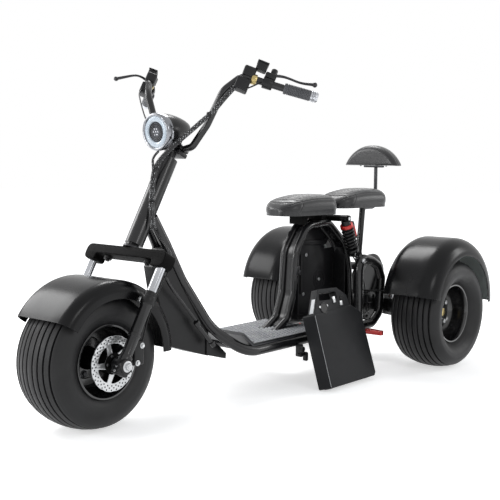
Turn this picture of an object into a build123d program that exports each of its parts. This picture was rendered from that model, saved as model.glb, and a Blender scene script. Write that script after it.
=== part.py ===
from build123d import *
import math
import os

os.makedirs("parts", exist_ok=True)

# Electric trike with one steered fat wheel in front and two behind, in millimetres.
# The model is laid out from the rear axle's middle on the floor: +X forward, +Y to the
# rider's left, +Z up. It is moved to the middle of its length when it is written.

# Wheels
wheelbase = 1390
track_half = 340
tyre_r = 203
tyre_width = 200
tyre_crown_drop = 15
tyre_shoulder_half = 80
front_bead_half = 86
rear_bead_half = 62
rim_seat_r = 101
rim_wall = 5
flange_rise = 7
flange_t = 5
wheel_disc_t = 8
front_disc_offset = -8
rear_disc_offset = -10
hub_r = 32
hub_half = 58
rear_hub_out = 6
running_gap = 0.05
side_gap = 0.3

# Brake disc on the front wheel's left
brake_disc_r = 80
brake_disc_t = 4
brake_disc_y = tyre_width / 2 + 12
brake_carrier_r = 30
caliper_at = (-78, 30)
caliper_size = (40, 62)
caliper_sides = (-16, 14)
caliper_slot_half = 7
caliper_slot_rise = 5
caliper_arm_at = (-74, 44)
caliper_arm_up = 78
caliper_arm_r = 8

# Steering head: the axis runs up and back from the front axle's middle
rake_deg = 30
head_tube_low = tyre_r + 159
head_tube_high = head_tube_low + 293
head_tube_r = 28
stem_r = 16

# Fork
fork_half = tyre_width / 2 + 50
slider_r = 20
slider_top = tyre_r + 11
collar_r = 23
collar_h = 18
stanchion_r = 14
crown_low = tyre_r + 93
crown_high = crown_low + 50
crown_thick = 30
crown_depth = 46
axle_r = 8
axle_boss_r = 22
nut_r = 14
nut_t = 12
spacer_r = 14
crown_leg_wall = 27
crown_round = 30

# Front mudguard, around a point a little behind and above the front axle
fender_centre = (-16, 7)
fender_crown_r = tyre_r + 22
fender_skirt_r = tyre_r - 28
fender_half = tyre_width / 2 + 18
fender_t = 3
fender_shoulder = 34
fender_front_deg = 34.5
fender_rear_deg = 181
fender_boss_r = 10
fender_boss_up = tyre_r - 7

# Handlebar
bar_r = 11
grip_r = 17
grip_start = 6
grip_overrun = 2
perch_at = (262, 945, -33)
perch_size = (30, 44, 34)
mirror_boss_r = 10
mirror_boss_ups = (962, 985)
mirror_hole_r = 4
mirror_hole_low = 973
lever_points = {
    "left": [(268, 962, -30), (300, 972, -52), (366, 976, -108)],
    "right": [(262, 957, -20), (272, 958, 30), (330, 922, 64)],
}
lever_r = 5
lever_bend = 20
lever_ball_r = 8
lever_ball_half = 7
lever_ball_round = 5
switch_at = (214, 936, 18)
switch_size = (38, 46, 40)
grip_outer_y = 376
clamp_size = (66, 30, 40)
clamp_up = head_tube_high + 37
clamp_forward = -18

# Headlight
lamp_x = wheelbase - 270
lamp_z = 2 * tyre_r + 446
lamp_tilt_deg = 5
lamp_r = 58
lamp_rim_length = 20
lamp_mid_length = 76
lamp_mid_r = 47
lamp_length = 140
lamp_end_r = 17
lens_r = 44
lens_t = 5
bracket_size = (30, 26, 34)
bracket_forward = 4

# Main frame
frame_tube_r = 17
rail_half = 130
rail_z = 150
rail_rear_x = 235
cross_tube_r = 12
front_cross_x = wheelbase - 600
rear_cross_x = 254
spine_r = 10
spine_overlap = 10
board_rear_x = 440
board_flat_x = wheelbase - 575
board_t = 9
board_sink = 2
board_half = 134
board_kick_x = wheelbase - 524
board_kick_z = rail_z + 58

# Seat frame: two bell-shaped loops side by side, given by their middle line
loop_half = 25
loop_tube_r = 13
loop_foot_x = 600
loop_top_z = 535
loop_rear_x = 120
loop_rear_top_x = 268

# Seats and backrest
seat_base_z = 577
seat_thick = 62
front_seat_rear_x = 286
front_seat_front_x = 548
rear_seat_rear_x = -44
rear_seat_front_x = 240
seat_half = 108
seat_nose_half = 70
seat_rear_round = 75
seat_nose_round = 56
seat_edge_round = 22
rear_seat_lift = 12
seat_rest_size = (30, 60)
seat_rest_x = (414, 300)
backrest_x = -62
backrest_low_z = 740
backrest_high_z = 820
backrest_half = 116
backrest_thick = 52
backrest_post_x = -80
backrest_post_r = 7
backrest_post_front_x = 4
backrest_post_bend = 24

# Battery bay and the pack that stands beside the trike
bay_front_x = 448
bay_rear_x = 158
bay_low_z = 190
bay_high_z = 466
bay_panel_top = 480
bay_half = 30
bay_wall = 4
pack_thick = 54
pack_front_x = 612
pack_foot_y = 248
pack_lean_deg = 17
pack_side = [(0, 0), (0, 252), (-216, 258), (-264, 226), (-268, 10), (-258, 0)]
pack_cap = [(0, 244), (0, 252), (-52, 333), (-156, 329), (-204, 296), (-214, 244)]
pack_cap_sides = (22, 52)
pack_slot = [(-46, 293), (-52, 318), (-146, 314), (-146, 289)]

# Rear suspension
swing_half = 130
swing_tube_r = 17
axle_plate_t = 10
axle_boss = 40
axle_tube_r = 26
motor_at = (36, tyre_r - 5)
motor_r = 54
motor_half = 62
rear_axle_r = 12
arch_tube_r = 19
arch_points = [
    (50, tyre_r - 13), (42, tyre_r + 115), (-6, tyre_r + 163), (-84, tyre_r + 169), (-122, tyre_r + 117),
    (-56, tyre_r - 3),
]
arch_bends = [40, 34, 34, 30]
arch_plate_t = 4
rear_nut_r = 18
rear_nut_t = 14
shock_half = 96
shock_top = (262, 552)
shock_foot = (204, 418)
shock_body_r = 20
spring_r = 25
seat_post_r = 12
seat_post_foot = (38, tyre_r + 122)
seat_post_head_x = 8
seat_plate_x = 60
seat_plate_size = (170, 120, 6)
shock_body_run = (14, 58)
shock_spring_end = 16
shock_shaft_r = 10
reservoir_r = 13
reservoir_run = (20, 62)
reservoir_offset = (-34, 0, -12)
reservoir_neck_at = 40
reservoir_neck_r = 9

# Rear mudguards
guard_r = tyre_r + 43
guard_z = tyre_r + 33
guard_inner_y = track_half - 112
guard_outer_y = track_half + 112
guard_t = 3
guard_front_deg = 12.5
guard_rear_deg = 182
guard_stay_w = 30
guard_stay_t = 5
guard_skirt = 74
guard_shoulder = 60
guard_stay_angles = (36, 90, 158)
guard_stay_short = 40

# Foot pegs, flat and tapered
peg_at = (195, 133)
peg_inner_y = 136
peg_outer_y = 226
peg_half_widths = (17, 11)
peg_t = 18

sin_rake = math.sin(math.radians(rake_deg))
cos_rake = math.cos(math.radians(rake_deg))
steer_frame = Plane(origin=(wheelbase, 0, tyre_r), x_dir=(0, 1, 0), z_dir=(cos_rake, 0, sin_rake))
nose_x = wheelbase + tyre_r
tail_x = -guard_r
middle_x = (nose_x + tail_x) / 2


def joined(shapes):
    """Fuses a list of shapes into one."""
    whole = shapes[0]
    for shape in shapes[1:]:
        whole = whole + shape
    return whole


def tube(points, radius, bends):
    """A round bar along straight runs joined by tangent arcs."""
    path = FilletPolyline(*points, radius=bends)
    return sweep(Plane(origin=path @ 0, z_dir=path % 0) * Circle(radius), path=path)


def rod(start, end, radius):
    """A round bar between two points."""
    line = Vector(*end) - Vector(*start)
    base = Plane(origin=start, z_dir=line)
    return extrude(base * Circle(radius), amount=line.length)


def across(x, z, y0, y1, radius):
    """A round bar across the trike from y0 to y1."""
    return rod((x, y0, z), (x, y1, z), radius)


def mirrored(shape):
    """The same shape on the trike's other side."""
    return mirror(shape, about=Plane.XZ)


def steered(y, up, forward):
    """A point given in the steering head's own frame."""
    return tuple(steer_frame.from_local_coords(Vector(y, up, forward)))


def wheel_at(shape, y, x):
    """Moves a wheel piece from the origin to its axle."""
    return Pos(x, y, tyre_r) * shape


def ring(points, angle=360):
    """A closed outline of (radius, y) points turned about the wheel axis."""
    return revolve(make_face(Polyline(*points, close=True)), axis=Axis.Y, revolution_arc=angle)


def tyre(bead_half):
    half = tyre_width / 2
    shoulder_r = tyre_r - tyre_crown_drop
    bead_r = rim_seat_r + flange_rise
    wall_mid_r = (bead_r + shoulder_r) / 2
    outline = [
        Line((rim_seat_r, -bead_half), (rim_seat_r, bead_half)),
        Line((rim_seat_r, bead_half), (bead_r, bead_half)),
        ThreePointArc((bead_r, bead_half), (wall_mid_r, half), (shoulder_r, tyre_shoulder_half)),
        ThreePointArc((shoulder_r, tyre_shoulder_half), (tyre_r, 0), (shoulder_r, -tyre_shoulder_half)),
        ThreePointArc((shoulder_r, -tyre_shoulder_half), (wall_mid_r, -half), (bead_r, -bead_half)),
        Line((bead_r, -bead_half), (rim_seat_r, -bead_half)),
    ]
    return revolve(make_face(outline), axis=Axis.Y)


def rim(bead_half, disc_offset, bore_r, hub_left):
    """A barrel with two flanges, one web and a bored hub."""
    flange_r = rim_seat_r + flange_rise
    outer_half = bead_half + flange_t
    inner_r = rim_seat_r - rim_wall
    barrel = ring([
        (inner_r, -outer_half), (flange_r, -outer_half), (flange_r, -bead_half), (rim_seat_r, -bead_half),
        (rim_seat_r, bead_half), (flange_r, bead_half), (flange_r, outer_half), (inner_r, outer_half),
    ])
    web_low = disc_offset - wheel_disc_t / 2
    web_high = disc_offset + wheel_disc_t / 2
    web = ring([(bore_r, web_low), (inner_r + 1, web_low), (inner_r + 1, web_high), (bore_r, web_high)])
    hub = ring([(bore_r, -hub_half), (hub_r, -hub_half), (hub_r, hub_left), (bore_r, hub_left)])
    return barrel + web + hub


def brake_disc():
    bore_r = axle_r + running_gap
    low = brake_disc_y - brake_disc_t / 2
    high = brake_disc_y + brake_disc_t / 2
    plate = ring([(bore_r, low), (brake_disc_r, low), (brake_disc_r, high), (bore_r, high)])
    carrier = ring([(bore_r, hub_half), (brake_carrier_r, hub_half), (brake_carrier_r, low), (bore_r, low)])
    return plate + carrier


def front_axle():
    """The spindle with its spacers and end nuts."""
    disc_face = brake_disc_y + brake_disc_t / 2
    leg_face = fork_half - axle_boss_r
    nut_face = fork_half + axle_boss_r
    spindle = across(0, 0, -nut_face - nut_t, nut_face + nut_t, axle_r)
    left = across(0, 0, disc_face + side_gap, leg_face, spacer_r)
    right = across(0, 0, -leg_face, -hub_half - side_gap, spacer_r)
    nuts = [across(0, 0, side * nut_face, side * (nut_face + nut_t), nut_r) for side in (1, -1)]
    return wheel_at(joined([spindle, left, right] + nuts), 0, wheelbase)


def fork_leg(side):
    """One telescopic leg: a slider with its axle boss, a collar and the stanchion."""
    y = side * fork_half
    slider = rod(steered(y, 0, 0), steered(y, slider_top, 0), slider_r)
    boss = across(wheelbase, tyre_r, y - axle_boss_r, y + axle_boss_r, axle_boss_r)
    collar = rod(steered(y, slider_top, 0), steered(y, slider_top + collar_h, 0), collar_r)
    stanchion = rod(steered(y, slider_top, 0), steered(y, crown_high - crown_thick, 0), stanchion_r)
    bore = across(wheelbase, tyre_r, y - 2 * axle_boss_r, y + 2 * axle_boss_r, axle_r)
    return slider + boss + collar + stanchion - bore


def fork_crown():
    """The arched bridge over both legs."""
    outer = fork_half + collar_r
    rise = crown_high - crown_low
    top = Pos(0, crown_low + rise / 2) * Rectangle(2 * outer, rise)
    drop = rise - crown_thick
    hollow = Pos(0, crown_low + drop / 2) * Rectangle(2 * (fork_half - crown_leg_wall), drop)
    outline = top - hollow
    outline = fillet(outline.vertices().sort_by(Axis.Y)[-2:], crown_round)
    bridge = steer_frame * Pos(0, 0, -crown_depth / 2) * extrude(outline, amount=crown_depth)
    for side in (1, -1):
        y = side * fork_half
        bridge = bridge - rod(steered(y, 0, 0), steered(y, crown_high - crown_thick, 0), stanchion_r)
    return bridge


def steering_stem():
    return rod(steered(0, crown_high, 0), steered(0, clamp_up - clamp_size[1] / 2, 0), stem_r)


def head_tube():
    outer = rod(steered(0, head_tube_low, 0), steered(0, head_tube_high, 0), head_tube_r)
    bore = rod(steered(0, head_tube_low - 5, 0), steered(0, head_tube_high + 5, 0), stem_r + running_gap)
    return outer, bore


def guard_section(crown_r, skirt_r, half, shoulder, thick):
    """A U-shaped sheet section in (radius, y), with rounded shoulders."""
    outer = Pos((crown_r + skirt_r) / 2, 0) * Rectangle(crown_r - skirt_r, 2 * half)
    outer = fillet(outer.vertices().sort_by(Axis.X)[-2:], shoulder)
    inner = Pos((crown_r + skirt_r) / 2 - thick, 0) * Rectangle(crown_r - skirt_r, 2 * (half - thick))
    inner = fillet(inner.vertices().sort_by(Axis.X)[-2:], shoulder - thick)
    return outer - inner


def front_fender(legs):
    section = guard_section(fender_crown_r, fender_skirt_r, fender_half, fender_shoulder, fender_t)
    sweep_deg = fender_rear_deg - fender_front_deg
    shell = revolve(section, axis=Axis.Y, revolution_arc=-sweep_deg)
    shell = Rot(0, -fender_front_deg, 0) * shell
    shell = Pos(fender_centre[0], 0, fender_centre[1]) * wheel_at(shell, 0, wheelbase)
    for side in (1, -1):
        start = steered(side * fender_half, fender_boss_up, 0)
        end = steered(side * fork_half, fender_boss_up, 0)
        shell = shell + (rod(start, end, fender_boss_r) - legs[side])
    return shell


bar_points = [
    (0, 692, -18), (62, 708, -16), (112, 772, 6), (165, 868, 44), (205, 926, 30), (290, 938, -60),
]
bar_bends = [30, 60, 60, 32, 40]
grip_end = (grip_outer_y, 943, -128)


def handlebar():
    """A tall bar: up from the clamp, then swept back to the grips."""
    half = [steered(*point) for point in bar_points] + [steered(*grip_end)]
    left = tube(half, bar_r, bar_bends)
    return left + mirrored(left)


def grip(bar):
    line = Vector(*steered(*grip_end)) - Vector(*steered(*bar_points[-1]))
    along = line.normalized()
    start = Vector(*steered(*bar_points[-1])) + along * grip_start
    end = Vector(*steered(*grip_end)) + along * grip_overrun
    return rod(tuple(start), tuple(end), grip_r) - bar


def bar_clamp(bar):
    block = steer_frame * Pos(0, clamp_up, clamp_forward) * Box(*clamp_size)
    return block - bar


def lever(bar, points):
    """A perch on the bar with its mirror boss, and the lever blade with a ball end."""
    y, _, forward = perch_at
    low, high = mirror_boss_ups
    perch = steer_frame * Pos(*perch_at) * Box(*perch_size)
    boss = rod(steered(y, low, forward), steered(y, high, forward), mirror_boss_r)
    hole = rod(steered(y, mirror_hole_low, forward), steered(y, high + lever_r, forward), mirror_hole_r)
    blade = tube([steered(*point) for point in points], lever_r, lever_bend)
    ball = steer_frame * Pos(*points[-1]) * Rot(90, 0, 0) * Cylinder(lever_ball_r, 2 * lever_ball_half)
    ball = fillet(ball.edges().filter_by(GeomType.CIRCLE), lever_ball_round)
    return perch + boss + blade + ball - hole - bar


def controls(bar):
    """The switch housing and the throttle box beside it."""
    return steer_frame * Pos(*switch_at) * Box(*switch_size) - bar


def lamp_place():
    """Where the headlight's face is, its depth running back and slightly up."""
    return Pos(lamp_x, 0, lamp_z) * Rot(0, -90 + lamp_tilt_deg, 0)


def headlight(bar, clamp):
    """A bullet shell with a round seat for the lens, on a bracket from the bar clamp."""
    outline = [
        Line((0, 0), (lamp_r, 0)),
        Line((lamp_r, 0), (lamp_r, lamp_rim_length)),
        Line((lamp_r, lamp_rim_length), (lamp_mid_r, lamp_mid_length)),
        Line((lamp_mid_r, lamp_mid_length), (lamp_end_r, lamp_length)),
        Line((lamp_end_r, lamp_length), (0, lamp_length)),
        Line((0, lamp_length), (0, 0)),
    ]
    shell = revolve(Plane.XZ * make_face(outline), axis=Axis.Z)
    shell = shell - extrude(Circle(lens_r), amount=lens_t)
    bracket_up = clamp_up + (clamp_size[1] + bracket_size[1]) / 2
    bracket = steer_frame * Pos(0, bracket_up, bracket_forward) * Box(*bracket_size)
    bracket = bracket - lamp_place() * extrude(Circle(lamp_r), amount=lamp_length / 2)
    return lamp_place() * shell + bracket - bar - clamp


def headlight_lens():
    return lamp_place() * extrude(Circle(lens_r), amount=lens_t)


def brake_caliper():
    """The caliper behind the left leg, open over the disc."""
    low = brake_disc_y + caliper_sides[0]
    high = brake_disc_y + caliper_sides[1]
    place = Pos(wheelbase + caliper_at[0], (low + high) / 2, tyre_r + caliper_at[1])
    block = place * Box(caliper_size[0], high - low, caliper_size[1])
    slot_r = brake_disc_r + caliper_slot_rise
    slot = across(wheelbase, tyre_r, brake_disc_y - caliper_slot_half, brake_disc_y + caliper_slot_half, slot_r)
    arm_foot = (wheelbase + caliper_arm_at[0], high - caliper_arm_r, tyre_r + caliper_arm_at[1])
    arm = rod(arm_foot, steered(fork_half, caliper_arm_up, 0), caliper_arm_r)
    leg = rod(steered(fork_half, 0, 0), steered(fork_half, slider_top, 0), slider_r)
    return block - slot + (arm - leg - slot)


cable_points = [
    (192, 900, 58), (160, 858, 63), (108, 766, 25), (60, 716, 8), (40, 660, 24), (34, 600, 30),
    (34, 520, 28), (36, 460, 28), (34, 404, 30),
]
cable_r = 6
cable_bend = 60
clip_r = 4
clip_ends = [(134, 812, 44), (138, 819, 25)]


def cable_bundle(bar):
    """The braided pair of cables down the bar and the steering head, with a clip on the bar."""
    run = tube([steered(*point) for point in cable_points], cable_r, cable_bend)
    clip = rod(steered(*clip_ends[0]), steered(*clip_ends[1]), clip_r)
    return run + clip - bar


down_points = [
    (wheelbase - 244, 14, tyre_r + 393), (wheelbase - 292, 20, tyre_r + 309),
    (wheelbase - 350, 30, tyre_r + 193), (wheelbase - 450, 62, rail_z + 82),
    (wheelbase - 545, rail_half, rail_z), (rail_rear_x, rail_half, rail_z),
]
down_bends = [200, 260, 200, 120]


def main_frame():
    """Head tube, twin down tubes that turn into the side rails, and cross tubes."""
    outer, bore = head_tube()
    side = tube(down_points, frame_tube_r, down_bends)
    crosses = [across(x, rail_z, -rail_half, rail_half, cross_tube_r)
               for x in (front_cross_x, loop_foot_x, rear_cross_x)]
    spine_end = (loop_rear_x - spine_overlap, loop_half, rail_z)
    spine = rod((rear_cross_x, loop_half, rail_z), spine_end, spine_r)
    return joined([outer, side, mirrored(side), spine, mirrored(spine)] + crosses) - bore


gusset_points = [
    (wheelbase - 238, tyre_r + 242), (wheelbase - 248, tyre_r + 197), (wheelbase - 293, tyre_r + 12),
    (wheelbase - 309, tyre_r - 13), (wheelbase - 441, tyre_r - 57), (wheelbase - 443, rail_z + 84),
    (wheelbase - 350, tyre_r + 190), (wheelbase - 284, tyre_r + 300),
]
gusset_plan = [(wheelbase - 225, 16), (wheelbase - 430, 56), (wheelbase - 455, 60)]


def front_gusset(frame):
    """The closed box under the down tubes."""
    face = Plane.XZ * make_face(Polyline(*gusset_points, close=True))
    side = extrude(face, amount=rail_half, both=True)
    mirror_plan = [(x, -y) for x, y in reversed(gusset_plan)]
    plan = make_face(Polyline(*gusset_plan, *mirror_plan, close=True))
    wedge = side & extrude(plan, amount=lamp_z)
    return wedge - frame


def footboard(frame, loops):
    top = rail_z + frame_tube_r - board_sink
    outline = [
        (board_rear_x, top), (board_flat_x, top), (board_kick_x, board_kick_z),
        (board_kick_x - board_t / 2, board_kick_z + board_t), (board_flat_x - board_t / 2, top + board_t),
        (board_rear_x, top + board_t),
    ]
    face = Plane.XZ * make_face(Polyline(*outline, close=True))
    return extrude(face, amount=board_half, both=True) - frame - loops


loop_points = [
    (loop_foot_x, rail_z), (506, 204), (474, 290), (462, 440), (395, loop_top_z - 5),
    (loop_rear_top_x, loop_top_z), (160, 448), (132, 340), (loop_rear_x, rail_z),
]
loop_bends = [40, 80, 80, 60, 60, 80, 90]
band_t = 4
band_low_z = rail_z + frame_tube_r


def loop_faces():
    """The area inside the loops' middle line, and the same area inside the sheet."""
    path = FilletPolyline(*loop_points, radius=loop_bends)
    outer = make_face([path, Line(path @ 1, path @ 0)])
    return outer, offset(outer, amount=-band_t)


def loop_band():
    """The sheet between the two loops, along their middle line."""
    outer, inner = loop_faces()
    foot = Pos(loop_rear_x, band_low_z) * Rectangle(2 * loop_foot_x, 2 * (band_low_z - rail_z))
    return extrude(Plane.XZ * (outer - inner - foot), amount=loop_half, both=True)


def seat_frame(frame):
    """Two bell-shaped loops with a sheet between them, and the seat's rests on top."""
    side = tube([(x, loop_half, z) for x, z in loop_points], loop_tube_r, loop_bends)
    bar_half = shock_half + shock_body_r
    shock_bar = across(shock_top[0], shock_top[1], -bar_half, bar_half, cross_tube_r)
    rests = []
    for x in seat_rest_x:
        height = seat_base_z - side_gap - loop_top_z
        place = Pos(x, 0, loop_top_z + height / 2)
        rests.append(place * Box(seat_rest_size[0], seat_rest_size[1], height))
    return joined([side, mirrored(side), loop_band(), shock_bar] + rests) - frame


def battery_bay(loops, frame, board):
    """An open-sided tray between the loops for the removable pack, on a back panel."""
    outline = [(x, min(z, bay_panel_top)) for x, z in loop_points]
    panel = Plane.XZ * make_face(Polyline(*outline, close=True))
    panel = Pos(0, -bay_half + bay_wall, 0) * extrude(panel, amount=bay_wall)
    length = bay_front_x - bay_rear_x
    height = bay_high_z - bay_low_z
    centre = Pos((bay_front_x + bay_rear_x) / 2, 0, (bay_high_z + bay_low_z) / 2)
    outer = centre * Box(length, 2 * bay_half, height)
    inner = centre * Pos(0, bay_wall, 0) * Box(length - 2 * bay_wall, 2 * bay_half, height - 2 * bay_wall)
    tray = (outer - inner) & extrude(Plane.XZ * loop_faces()[1], amount=bay_half, both=True)
    return tray + panel - loops - frame - board


def battery_pack():
    """The removable pack with its carrying handle, standing beside the trike."""
    back = Plane.XZ.offset(-pack_thick)
    case = extrude(back * make_face(Polyline(*pack_side, close=True)), amount=pack_thick)
    low, high = pack_cap_sides
    cap = make_face(Polyline(*pack_cap, close=True)) - make_face(Polyline(*pack_slot, close=True))
    cap = extrude(Plane.XZ.offset(-high) * cap, amount=high - low)
    return Pos(pack_front_x, pack_foot_y, 0) * Rot(pack_lean_deg, 0, 0) * (case + cap)


def cushion(x0, x1, z0):
    """A plain saddle: wide and round behind, narrower in front, with soft top edges."""
    points = [(x0, -seat_half), (x0, seat_half), (x1, seat_nose_half), (x1, -seat_nose_half)]
    outline = make_face(Polyline(*points, close=True))
    outline = fillet(outline.vertices().sort_by(Axis.X)[:2], seat_rear_round)
    outline = fillet(outline.vertices().sort_by(Axis.X)[-2:], seat_nose_round)
    body = extrude(outline, amount=seat_thick)
    body = fillet(body.faces().sort_by(Axis.Z)[-1].edges(), seat_edge_round)
    return Pos(0, 0, z0) * body


def seat_post(housing):
    """The pillar and plate that carry the rear seat, standing on the axle's arch."""
    plate_top = seat_base_z + rear_seat_lift - side_gap
    middle_z = plate_top - seat_plate_size[2] / 2
    plate = Pos(seat_plate_x, 0, middle_z) * Box(*seat_plate_size)
    foot = (seat_post_foot[0], 0, seat_post_foot[1])
    leg = rod(foot, (seat_post_head_x, 0, middle_z), seat_post_r)
    return plate + leg - housing


def backrest_pad():
    outline = make_face([
        Line((-backrest_half, 0), (backrest_half, 0)),
        ThreePointArc((backrest_half, 0), (0, backrest_high_z - backrest_low_z), (-backrest_half, 0)),
    ])
    face = Plane(origin=(backrest_x, 0, backrest_low_z), x_dir=(0, 1, 0), z_dir=(1, 0, 0)) * outline
    return extrude(face, amount=backrest_thick / 2, both=True)


def backrest_post(plate):
    """The thin pillar of the backrest, bent forward under the rear seat's plate."""
    low = seat_base_z + rear_seat_lift - side_gap - seat_plate_size[2] - backrest_post_r
    points = [(backrest_post_front_x, 0, low), (backrest_post_x, 0, low), (backrest_post_x, 0, backrest_low_z)]
    return tube(points, backrest_post_r, backrest_post_bend) - plate


hoop_points = [
    (rail_rear_x, rail_z), (128, rail_z), (80, 186), (67, 318), (92, 366), (134, 388), (203, 404), (216, 360),
    (216, rail_z + 3),
]
hoop_bends = [40, 40, 28, 28, 60, 24, 60]
plate_points = [
    (86, tyre_r - 17), (74, tyre_r + 97), (-6, tyre_r + axle_boss), (-axle_boss, tyre_r),
    (-6, tyre_r - axle_boss),
]
lug_r = 8
lug_inset = 12
neck_foot = (206, 396)


def swing_arm(side, frame, housing):
    """A closed hoop of tube with the plate that holds the axle tube."""
    y = side * swing_half
    hoop = tube([(x, y, z) for x, z in hoop_points], swing_tube_r, hoop_bends)
    plate = Plane.XZ * make_face(Polyline(*plate_points, close=True))
    plate = Pos(0, y, 0) * extrude(plate, amount=axle_plate_t / 2, both=True)
    eye = (shock_foot[0], y, shock_foot[1])
    lug = rod(eye, (shock_foot[0], side * (shock_half - lug_inset), shock_foot[1]), lug_r)
    neck = rod(eye, (neck_foot[0], y, neck_foot[1]), lug_r)
    return joined([hoop, plate, lug, neck]) - frame - housing


def axle_housing(frame, loops):
    """The rear axle tube with the motor's round casing and the arched arm with its plate."""
    end = track_half - hub_half - side_gap
    tube_part = across(0, tyre_r, -end, end, axle_tube_r)
    casing = across(*motor_at, -motor_half, motor_half, motor_r)
    hub_face = track_half + rear_hub_out
    stub_end = hub_face + rear_nut_t
    stub = across(0, tyre_r, -stub_end, stub_end, rear_axle_r)
    nuts = [across(0, tyre_r, side * (hub_face + side_gap), side * stub_end, rear_nut_r) for side in (1, -1)]
    arch = tube([(x, 0, z) for x, z in arch_points], arch_tube_r, arch_bends)
    plate = Plane.XZ * make_face(Polyline(*arch_points, close=True))
    plate = extrude(plate, amount=arch_plate_t / 2, both=True)
    return joined([tube_part, casing, stub, arch, plate] + nuts) - frame - loops


def shock(side, loops, arm):
    """A short damper: the body above, the coil spring, and an eye at each end."""
    y = side * shock_half
    top = Vector(shock_top[0], y, shock_top[1])
    foot = Vector(shock_foot[0], y, shock_foot[1])
    along = (foot - top).normalized()
    offset = Vector(*reservoir_offset)
    body_top, body_end = shock_body_run
    body = rod(tuple(top + along * body_top), tuple(top + along * body_end), shock_body_r)
    spring = rod(tuple(top + along * body_end), tuple(foot - along * shock_spring_end), spring_r)
    shaft = rod(tuple(top), tuple(foot), shock_shaft_r)
    ends = [tuple(top + along * run + offset) for run in reservoir_run]
    reservoir = rod(*ends, reservoir_r)
    neck_start = top + along * reservoir_neck_at
    neck = rod(tuple(neck_start), tuple(neck_start + offset), reservoir_neck_r)
    return joined([body, spring, shaft, reservoir, neck]) - loops - arm


def rear_guard(side, housing):
    """One rear mudguard: a wide arched shell on two flat stays from the axle tube."""
    half = (guard_outer_y - guard_inner_y) / 2
    section = guard_section(guard_r, guard_r - guard_skirt, half, guard_shoulder, guard_t)
    shell = revolve(section, axis=Axis.Y, revolution_arc=guard_front_deg - guard_rear_deg)
    shell = Rot(0, -guard_front_deg, 0) * shell
    shell = Pos(0, side * (guard_inner_y + half), guard_z) * shell
    stay_r = guard_r - guard_stay_short
    base = Rectangle(stay_r, guard_stay_w, align=(Align.MIN, Align.CENTER))
    for angle in guard_stay_angles:
        reach = guard_z - tyre_r if angle == 90 else 0
        stay = extrude(Plane.XZ * base, amount=guard_stay_t / 2, both=True)
        stay = Rot(0, -angle, 0) * (Pos(reach, 0, 0) * stay + stay if reach else stay)
        y = side * (guard_inner_y - guard_stay_t / 2)
        shell = shell + Pos(0, y, tyre_r) * stay
    return shell - housing


def foot_peg(side, arm):
    """A flat peg that stands out from the swing arm's lower run."""
    x, z = peg_at
    root, tip = peg_half_widths
    corners = [(x - root, peg_inner_y), (x + root, peg_inner_y), (x + tip, peg_outer_y), (x - tip, peg_outer_y)]
    outline = make_face(Polyline(*[(px, side * py) for px, py in corners], close=True))
    return Pos(0, 0, z) * extrude(outline, amount=peg_t / 2, both=True) - arm


def write(name, shape):
    moved = Pos(-middle_x, 0, 0) * shape
    export_step(moved, f"parts/{name}.step")


frame = main_frame()
loops = seat_frame(frame)
board = footboard(frame, loops)
housing = axle_housing(frame, loops)
post = seat_post(housing)
bar = handlebar()
clamp = bar_clamp(bar)
legs = {side: fork_leg(side) for side in (1, -1)}
left_grip = grip(bar)
levers = {name: lever(bar, points) for name, points in lever_points.items()}
left_controls = controls(bar)
front_wheel = rim(front_bead_half, front_disc_offset, axle_r + running_gap, hub_half)
rear_wheel = rim(rear_bead_half, rear_disc_offset, rear_axle_r + running_gap, rear_hub_out)
sides = (("left", 1), ("right", -1))

nodes = {
    "main_frame": frame,
    "front_gusset": front_gusset(frame),
    "footboard": board,
    "seat_frame": loops,
    "battery_bay": battery_bay(loops, frame, board),
    "battery_pack": battery_pack(),
    "seat_front": cushion(front_seat_rear_x, front_seat_front_x, seat_base_z),
    "backrest_pad": backrest_pad(),
    "backrest_post": backrest_post(post),
    "seat_post": post,
    "seat_rear": cushion(rear_seat_rear_x, rear_seat_front_x, seat_base_z + rear_seat_lift),
    "axle_housing": housing,
    "steering_stem": steering_stem(),
    "fork_crown": fork_crown(),
    "front_fender": front_fender(legs),
    "front_axle": front_axle(),
    "handlebar": bar,
    "bar_clamp": clamp,
    "grip_left": left_grip,
    "grip_right": mirrored(left_grip),
    "lever_left": levers["left"],
    "lever_right": mirrored(levers["right"]),
    "controls_left": left_controls,
    "controls_right": mirrored(left_controls),
    "headlight": headlight(bar, clamp),
    "headlight_lens": headlight_lens(),
    "brake_caliper": brake_caliper(),
    "cable_bundle": cable_bundle(bar),
    "front_tyre": wheel_at(tyre(front_bead_half), 0, wheelbase),
    "front_rim": wheel_at(front_wheel, 0, wheelbase),
    "front_brake_disc": wheel_at(brake_disc(), 0, wheelbase),
}
for name, side in sides:
    nodes[f"fork_{name}"] = legs[side]
    arm = swing_arm(side, frame, housing)
    nodes[f"swing_arm_{name}"] = arm
    nodes[f"shock_{name}"] = shock(side, loops, arm)
    nodes[f"rear_fender_{name}"] = rear_guard(side, housing)
    nodes[f"foot_peg_{name}"] = foot_peg(side, arm)
    nodes[f"rear_tyre_{name}"] = wheel_at(tyre(rear_bead_half), side * track_half, 0)
    placed = wheel_at(rear_wheel, track_half, 0)
    nodes[f"rear_rim_{name}"] = placed if side > 0 else mirrored(placed)

for name, shape in nodes.items():
    write(name, shape)
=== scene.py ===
import math

import bmesh
import bpy
from mathutils import Matrix, Vector

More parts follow.
